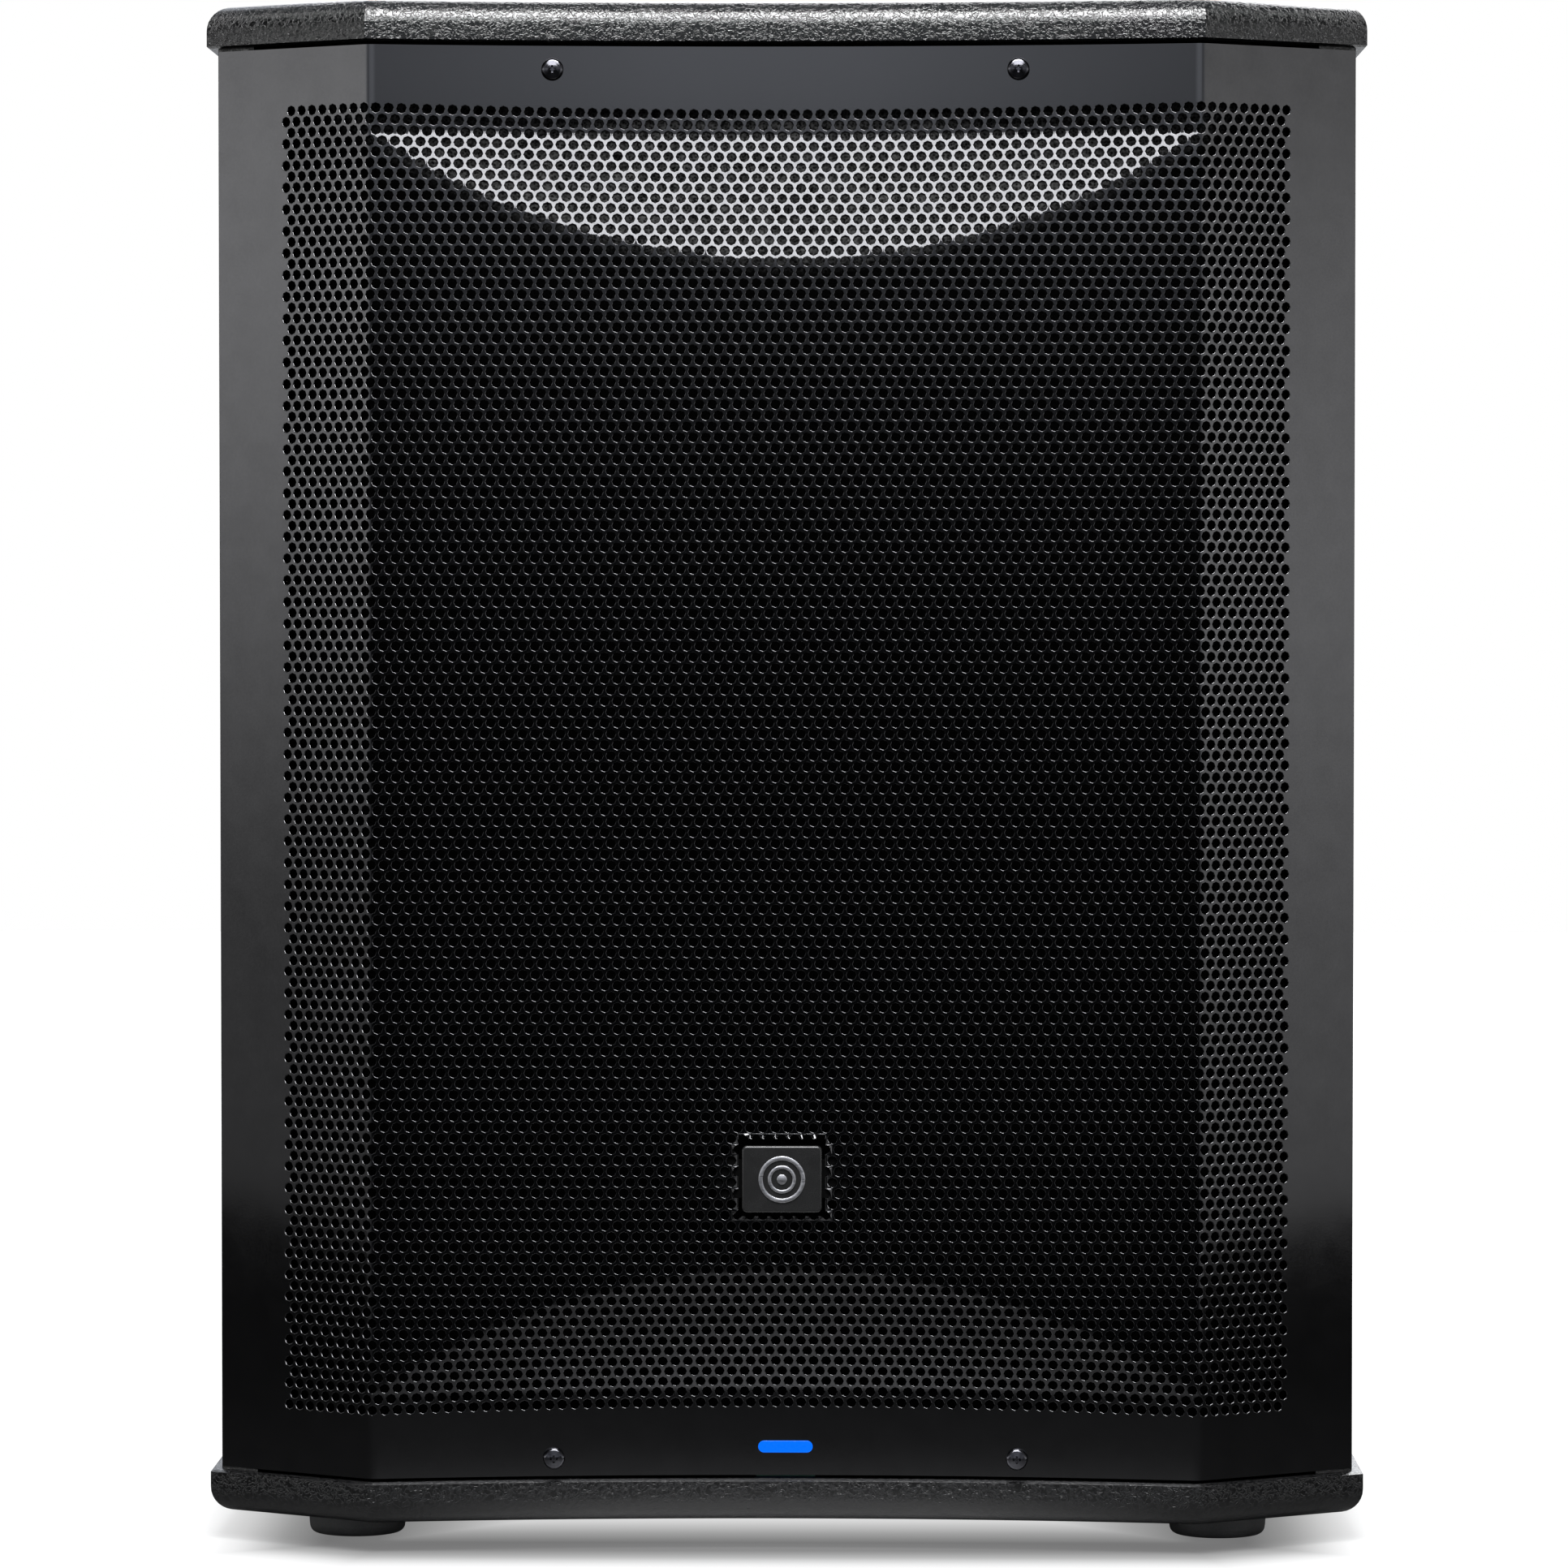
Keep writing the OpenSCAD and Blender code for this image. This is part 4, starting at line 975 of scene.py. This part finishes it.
def make_screws():
    """The grille's pan-head screws: flat domed heads with a rounded rim and a tapered cross, on threaded shanks."""
    low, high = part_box("grille_screws")
    r, seat, tip = 0.0052, low.y + 0.0034, high.y
    rim, pitch, thread_r = seat - 0.0009, 0.0008, 0.0025
    head = [(thread_r, seat), (r, seat), (r, rim)]
    head += [(r - 0.0017 * drawn, rim - 0.0019 * rise) for drawn, rise in quarter(6)]
    head += [(r * k, low.y + 0.0006 * (k / 0.673) ** 2) for k in (0.5, 0.3, 0.1, 0.02)]
    shank = [(0.0012, tip), (0.0022, tip - 0.0012)]
    for i in range(int((tip - seat - 0.002) / pitch)):
        y = tip - 0.0014 - i * pitch
        shank += [(thread_r, y), (0.0021, y - pitch / 2)]
    shank.append((0.0024, seat - 0.0002))
    made = []
    for at in ((x, z) for x in (low.x + r, high.x - r) for z in (low.z + r, high.z - r)):
        cross = []
        for w, h, wide, tall in ((0.0046, 0.0011, 0.45, 0.8), (0.0011, 0.0046, 0.8, 0.45)):
            deep = lift(round_rect(w * wide, h * tall, 0.0002), "y", seat - 0.0012, at)
            cross.append(loft("cross", [deep, lift(round_rect(w, h, 0.0003), "y", low.y - 0.001, at)]))
        made.append(carved(turned("head", head[::-1], "y", at, sharp=50), *cross))
        made.append(turned("shank", shank, "y", at, 20))
    return joined("grille_pan_screws", made)


def make_foot(node):
    """A rubber foot: slightly drawn in near the floor, its lower edge rounded, its screw in a round well."""
    low, high, mid = seen_box(node, "y")
    r, z = (high.x - low.x) / 2, high.z
    profile = [(r - 0.0006, z), (r, z - 0.0008), (r - 0.0004, 0.0045)]
    profile += [(r - 0.0006 - 0.003 * drawn, 0.0035 - 0.0035 * rise) for drawn, rise in quarter(5)]
    profile += [(0.0072, 0), (0.0062, 0.0006), (0.006, 0.0016), (0.006, 0.0078)]
    return turned(node + "_rubber", profile, "z", mid, 64)


def make_grip(side):
    """A rubber sleeve with shallow grooves and a collar at each end."""
    low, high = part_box("handle_grips")
    r, margin, count = (high.z - low.z) / 2, 0.014, 15
    mid = (side * (high.x - r), (low.z + high.z) / 2)
    collar = [(r * 0.7, 0), (r * 0.98, 0.0004), (r, 0.002), (r, 0.008)]
    groove = [(0.0016, -0.9), (0.0004, -0.6), (0.0002, 0), (0.0004, 0.6)]
    profile = [(rr, low.y + along) for rr, along in collar]
    grooved = high.y - low.y - 2 * margin
    half = grooved / count / 2
    for i in range(count):
        y = low.y + margin + grooved * (i + 0.5) / count
        profile += [(r - deep, y + half * k) for deep, k in groove]
    profile += [(r - 0.0016, high.y - margin)] + [(rr, high.y - along) for rr, along in collar[::-1]]
    return turned("grip", profile, "y", mid, 40, sharp=50)


def make_knob():
    """The level knob, with a fluted skirt, a round shoulder and a dished top, and its raised pointer."""
    low, high, mid = seen_box("level_knob")
    foot, top = 0.2996, high.y - 0.001
    foot_r, top_r, flutes, n = 0.0119, 0.0103, 20, 240

    def ring(r, y, deep):
        turns = [2 * pi * i / n for i in range(n)]
        radii = [r - deep * max(0, cos(flutes * t)) ** 2 for t in turns]
        return [(mid[0] + rr * cos(t), y, mid[1] + rr * sin(t)) for rr, t in zip(radii, turns)]

    rings = [ring(foot_r - 0.0004, foot, 0), ring(foot_r, foot + 0.0004, 0), ring(foot_r, foot + 0.0016, 0)]
    rings += [ring(foot_r + (top_r - foot_r) * k, foot + 0.002 + (top - foot - 0.0034) * k, 0.0006)
              for k in (0.02, 0.3, 0.6, 1)]
    rings += [ring(top_r - drawn, top - down, deep) for drawn, down, deep in
              ((0.0004, 0.0006, 0.0003), (0.0012, 0, 0), (0.003, 0, 0), (0.0042, 0.0005, 0))]
    shaft = turned("shaft", [(0.003, low.y), (0.003, foot + 0.001)], "y", mid, 24)
    at = (mid[0], mid[1] + 0.0062)
    mark = [lift(round_rect(0.0012, 0.0066, 0.0005), "y", y, at) for y in (top - 0.001, high.y - 0.0004)]
    mark.append(lift(round_rect(0.0008, 0.0062, 0.0004), "y", high.y, at))
    return joined("level_knob_cap", [loft("skirt", rings, sharp=40), shaft]), loft("level_knob_pointer", mark)


def driver_ring(name, profile):
    """A turned part of the driver: its profile is (radius, place along the driver's axis, forward)."""
    return turned(name, [(r, DRIVER[1] - z) for r, z in profile], "y", (DRIVER[0], DRIVER[2]), 180, True, 40)


def make_surround():
    """Doped cloth folded into two rolls: its outer edge stays on the frame and its inner edge on the cone."""
    top = [(0.2140, 0.0056), (0.2136, 0.0060), (0.2075, 0.0060)]
    turns = [pi * i / 10 for i in range(11)]
    for mid in (0.2020, 0.1949):
        top += [(mid + 0.0038 * cos(a), 0.0056 + 0.0036 * sin(a)) for a in turns]
    top += [(0.1905, 0.0045), (0.1898, 0.0040), (0.1842, 0.0040)]
    return driver_ring("cone_surround", top + [(r, z - 0.0006) for r, z in reversed(top)])


def make_spider():
    """Corrugated disc, cupped towards its middle."""
    top = []
    inner, outer, waves, steps = 0.0511, 0.107, 7, 12
    for i in range(waves * steps + 1):
        k = i / (waves * steps)
        wave = 0.0011 * (1 - cos(2 * pi * waves * k)) * (1 - 0.4 * k)
        top.append((inner + (outer - inner) * k, -0.0846 - 0.0042 * k + wave))
    top += [(0.126, -0.0888), (0.126, -0.0896)]
    under = [(r, z - 0.0008) for r, z in reversed(top[:-2])]
    return driver_ring("coil_spider", top + under)


def make_wadding(side):
    """A lumpy sheet of wadding on a side panel, open round the handle, thin at its edges."""
    low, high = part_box("damping_lining")
    hole = (-0.098, 0.118, 0.378, 0.502)  # y, y, z, z
    outer_x, deep, edge_width = high.x - 0.0002, 0.0195, 0.022
    ys, zs = np.linspace(low.y, high.y, 69), np.linspace(low.z, high.z, 115)

    def thickness(y, z):
        edge = min(y - low.y, high.y - y, z - low.z, high.z - z)
        gap = hypot(max(hole[0] - y, y - hole[1], 0), max(hole[2] - z, z - hole[3], 0))
        k = min(1, max(0, min(edge, gap) / edge_width))
        lumps = (noise.noise(Vector((side * 3, y * 24, z * 24))) * 0.12
                 + noise.noise(Vector((side, y * 90, z * 90))) * 0.05)
        return deep * (0.22 + 0.78 * sqrt(k * (2 - k))) * min(1, 0.86 + lumps)

    bm = bmesh.new()
    face_v, back_v = {}, {}
    for i, y in enumerate(ys):
        for j, z in enumerate(zs):
            if not (hole[0] < y < hole[1] and hole[2] < z < hole[3]):
                face_v[i, j] = bm.verts.new((side * (outer_x - thickness(y, z)), y, z))
                back_v[i, j] = bm.verts.new((side * outer_x, y, z))
    cells = [[(i, j), (i + 1, j), (i + 1, j + 1), (i, j + 1)] for i in range(len(ys) - 1) for j in range(len(zs) - 1)]
    cells = [cell for cell in cells if all(c in face_v for c in cell)]
    for cell in cells:
        bm.faces.new([face_v[c] for c in cell])
        bm.faces.new([back_v[c] for c in reversed(cell)])
    for a, b in open_edges(cells):
        bm.faces.new((face_v[b], face_v[a], back_v[a], back_v[b]))
    bmesh.ops.delete(bm, geom=[v for v in bm.verts if not v.link_faces], context="VERTS")
    bmesh.ops.recalc_face_normals(bm, faces=bm.faces)
    return smoothed(to_mesh("side_wadding", bm), 70)


# the speaker cable from the amplifier's housing to the driver's tags, in millimetres
CABLE_R = 3.5 * MM
CABLE_ROUTE = [(-60, 186, 520), (-60, 172, 520), (-62, 160, 517), (-66, 148, 510), (-74, 120, 494), (-86, 84, 478),
               (-102, 44, 464), (-118, 2, 456), (-130, -40, 453), (-136, -76, 456), (-138, -98, 460),
               (-138, -112, 462), (-138, -124, 462)]


def smooth_route(points, steps=4):
    """A curve through the points of a route, in metres."""
    pts = [Vector(p) * MM for p in points]
    ends = [2 * pts[0] - pts[1]] + pts + [2 * pts[-1] - pts[-2]]
    out = []
    for a, b, c, d in zip(ends, ends[1:], ends[2:], ends[3:]):
        for t in (i / steps for i in range(steps)):
            out.append(0.5 * (2 * b + (c - a) * t + (2 * a - 5 * b + 4 * c - d) * t * t
                              + (3 * b - a - 3 * c + d) * t**3))
    return out + [pts[-1]]


def make_cable(route, r):
    """The round jacket along a route."""
    rings = []
    for i, p in enumerate(route):
        ahead = (route[min(i + 1, len(route) - 1)] - route[max(i - 1, 0)]).normalized()
        across = ahead.cross(Vector((0, 0, 1))).normalized()
        up = across.cross(ahead)
        rings.append([tuple(p + r * (across * a + up * b)) for a, b in circle(1, 16)])
    return loft("driver_cable", rings, sharp=60)


def soften(width, *nodes):
    """Rounds the hard edges of CAD nodes a little."""
    for n in nodes:
        m = NODES[n].modifiers.new("soft_edges", "BEVEL")
        m.width, m.segments, m.limit_method, m.angle_limit = width * MM, 2, "ANGLE", radians(35)
        m.use_clamp_overlap = True


bpy.context.scene.view_settings.view_transform = "Standard"
add_camera()
light_room()
area_light("front_box", (0, -2.75, 2.40), (0, -0.3, 0.64), (2.6, 1.1), 95, (0.98, 0.985, 1.0))
area_light("near_box", (0, -1.0, 1.65), (0, -0.3, 0.6), (1.0, 0.5), 50)
area_light("rear_box", (0.9, 3.2, 2.4), (0, 0.3, 0.4), (3.4, 2.4), 110)
area_light("right_box", (3.2, 0.6, 2.6), (0.2, 0.1, 0.4), (2.4, 2.4), 45)
area_light("left_box", (-3.2, 0.6, 2.6), (-0.2, 0.1, 0.4), (2.4, 2.4), 45)
make_stage()

route = smooth_route(CABLE_ROUTE)
cable = add_piece("driver_cable", make_cable(route, CABLE_R), "cable_jacket", "speaker_cable")

CAD_LOOKS = {
    "panel_coating": "side_panel_left side_panel_right back_panel amp_frame",
    "raw_plywood": "front_baffle port_shelf window_brace",
    "zinc_steel": "woofer_tee_nuts amp_housing woofer_terminals level_pot",
    "coated_steel": "pole_socket",
    "black_screw": "wood_screws woofer_bolts amp_panel_screws",
    "circuit_board": "led_board amp_board power_supply",
    "black_plastic": "handle_cup_left handle_cup_right input_jacks output_jacks "
                     "latch_left latch_right power_inlet power_switch",
    "cast_frame": "woofer_basket",
    "paper": "cone dust_cap",
    "fibreglass": "coil_former",
    "copper": "voice_coil",
    "ferrite": "magnet",
    "bare_steel": "top_plate pole_piece",
    "panel_metal": "amp_panel",
    "heatsink_aluminium": "heatsink",
    "rubber": "polarity_button lift_button",
    "rocker_plastic": "power_rocker",
    "unlit_lens": "panel_lights",
    # painted shade: brackets near-black, standing for the shade in the gap and behind the holes
    "painted_shade_black": "badge_bracket grille_brackets",
}
for look, nodes in CAD_LOOKS.items():
    put(LOOKS[look], *nodes.split())
soften(0.6, "side_panel_left", "side_panel_right", "back_panel", "pole_socket", "handle_cup_left", "handle_cup_right")
soften(0.25, "amp_panel", "heatsink", "input_jacks", "output_jacks", "power_inlet", "power_switch", "power_rocker",
       "polarity_button", "lift_button", "latch_left", "latch_right")
soften(0.15, "wood_screws", "amp_panel_screws")

add_piece("grille_sheet", make_grille(), "grille_steel", "grille")
add_piece("top_cap", make_top_cap(), "panel_coating", "top_panel")
add_piece("bottom_cap", make_cap("bottom_cap", BASE_TOP, -1), "panel_coating", "bottom_panel")
foam = add_piece("grille_foam_sheet", make_foam(), "foam", "grille_foam")
add_piece("badge_plate", make_badge(), "badge_black", "badge")
add_piece("badge_mark", make_mark(), "emblem_silver", "badge_emblem")
add_piece("power_light", make_light(), "led_blue", "led_lens")
add_piece("grille_pan_screws", make_screws(), "black_screw", "grille_screws")
for node in ("foot_front_left", "foot_front_right", "foot_rear_left", "foot_rear_right"):
    add_piece(node + "_rubber", make_foot(node), "rubber", node)
grips = joined("handle_grip_sleeves", [make_grip(1), make_grip(-1)])
add_piece("handle_grip_sleeves", grips, "rubber", "handle_grips")
cap, pointer = make_knob()
add_piece("level_knob_cap", cap, "knob_plastic", "level_knob", body="knob")
add_piece("level_knob_pointer", pointer, "knob_plastic", look="pointer_white", body="knob")
for side, word in ((1, "right"), (-1, "left")):
    pad = add_piece("side_wadding_" + word, make_wadding(side), "wadding", "damping_lining")

# the driver's soft parts: their outer edges sit on the frame and their inner edges on the cone
for make, look, span, node in ((make_surround, "doped_cloth", (0.0048, 0.0036), "surround"),
                               (make_spider, "spider_cloth", (-0.0878, -0.0840), "spider")):
    mesh = make()
    piece = add_piece(mesh.name, mesh, look, node, body=None)
    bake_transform(piece)
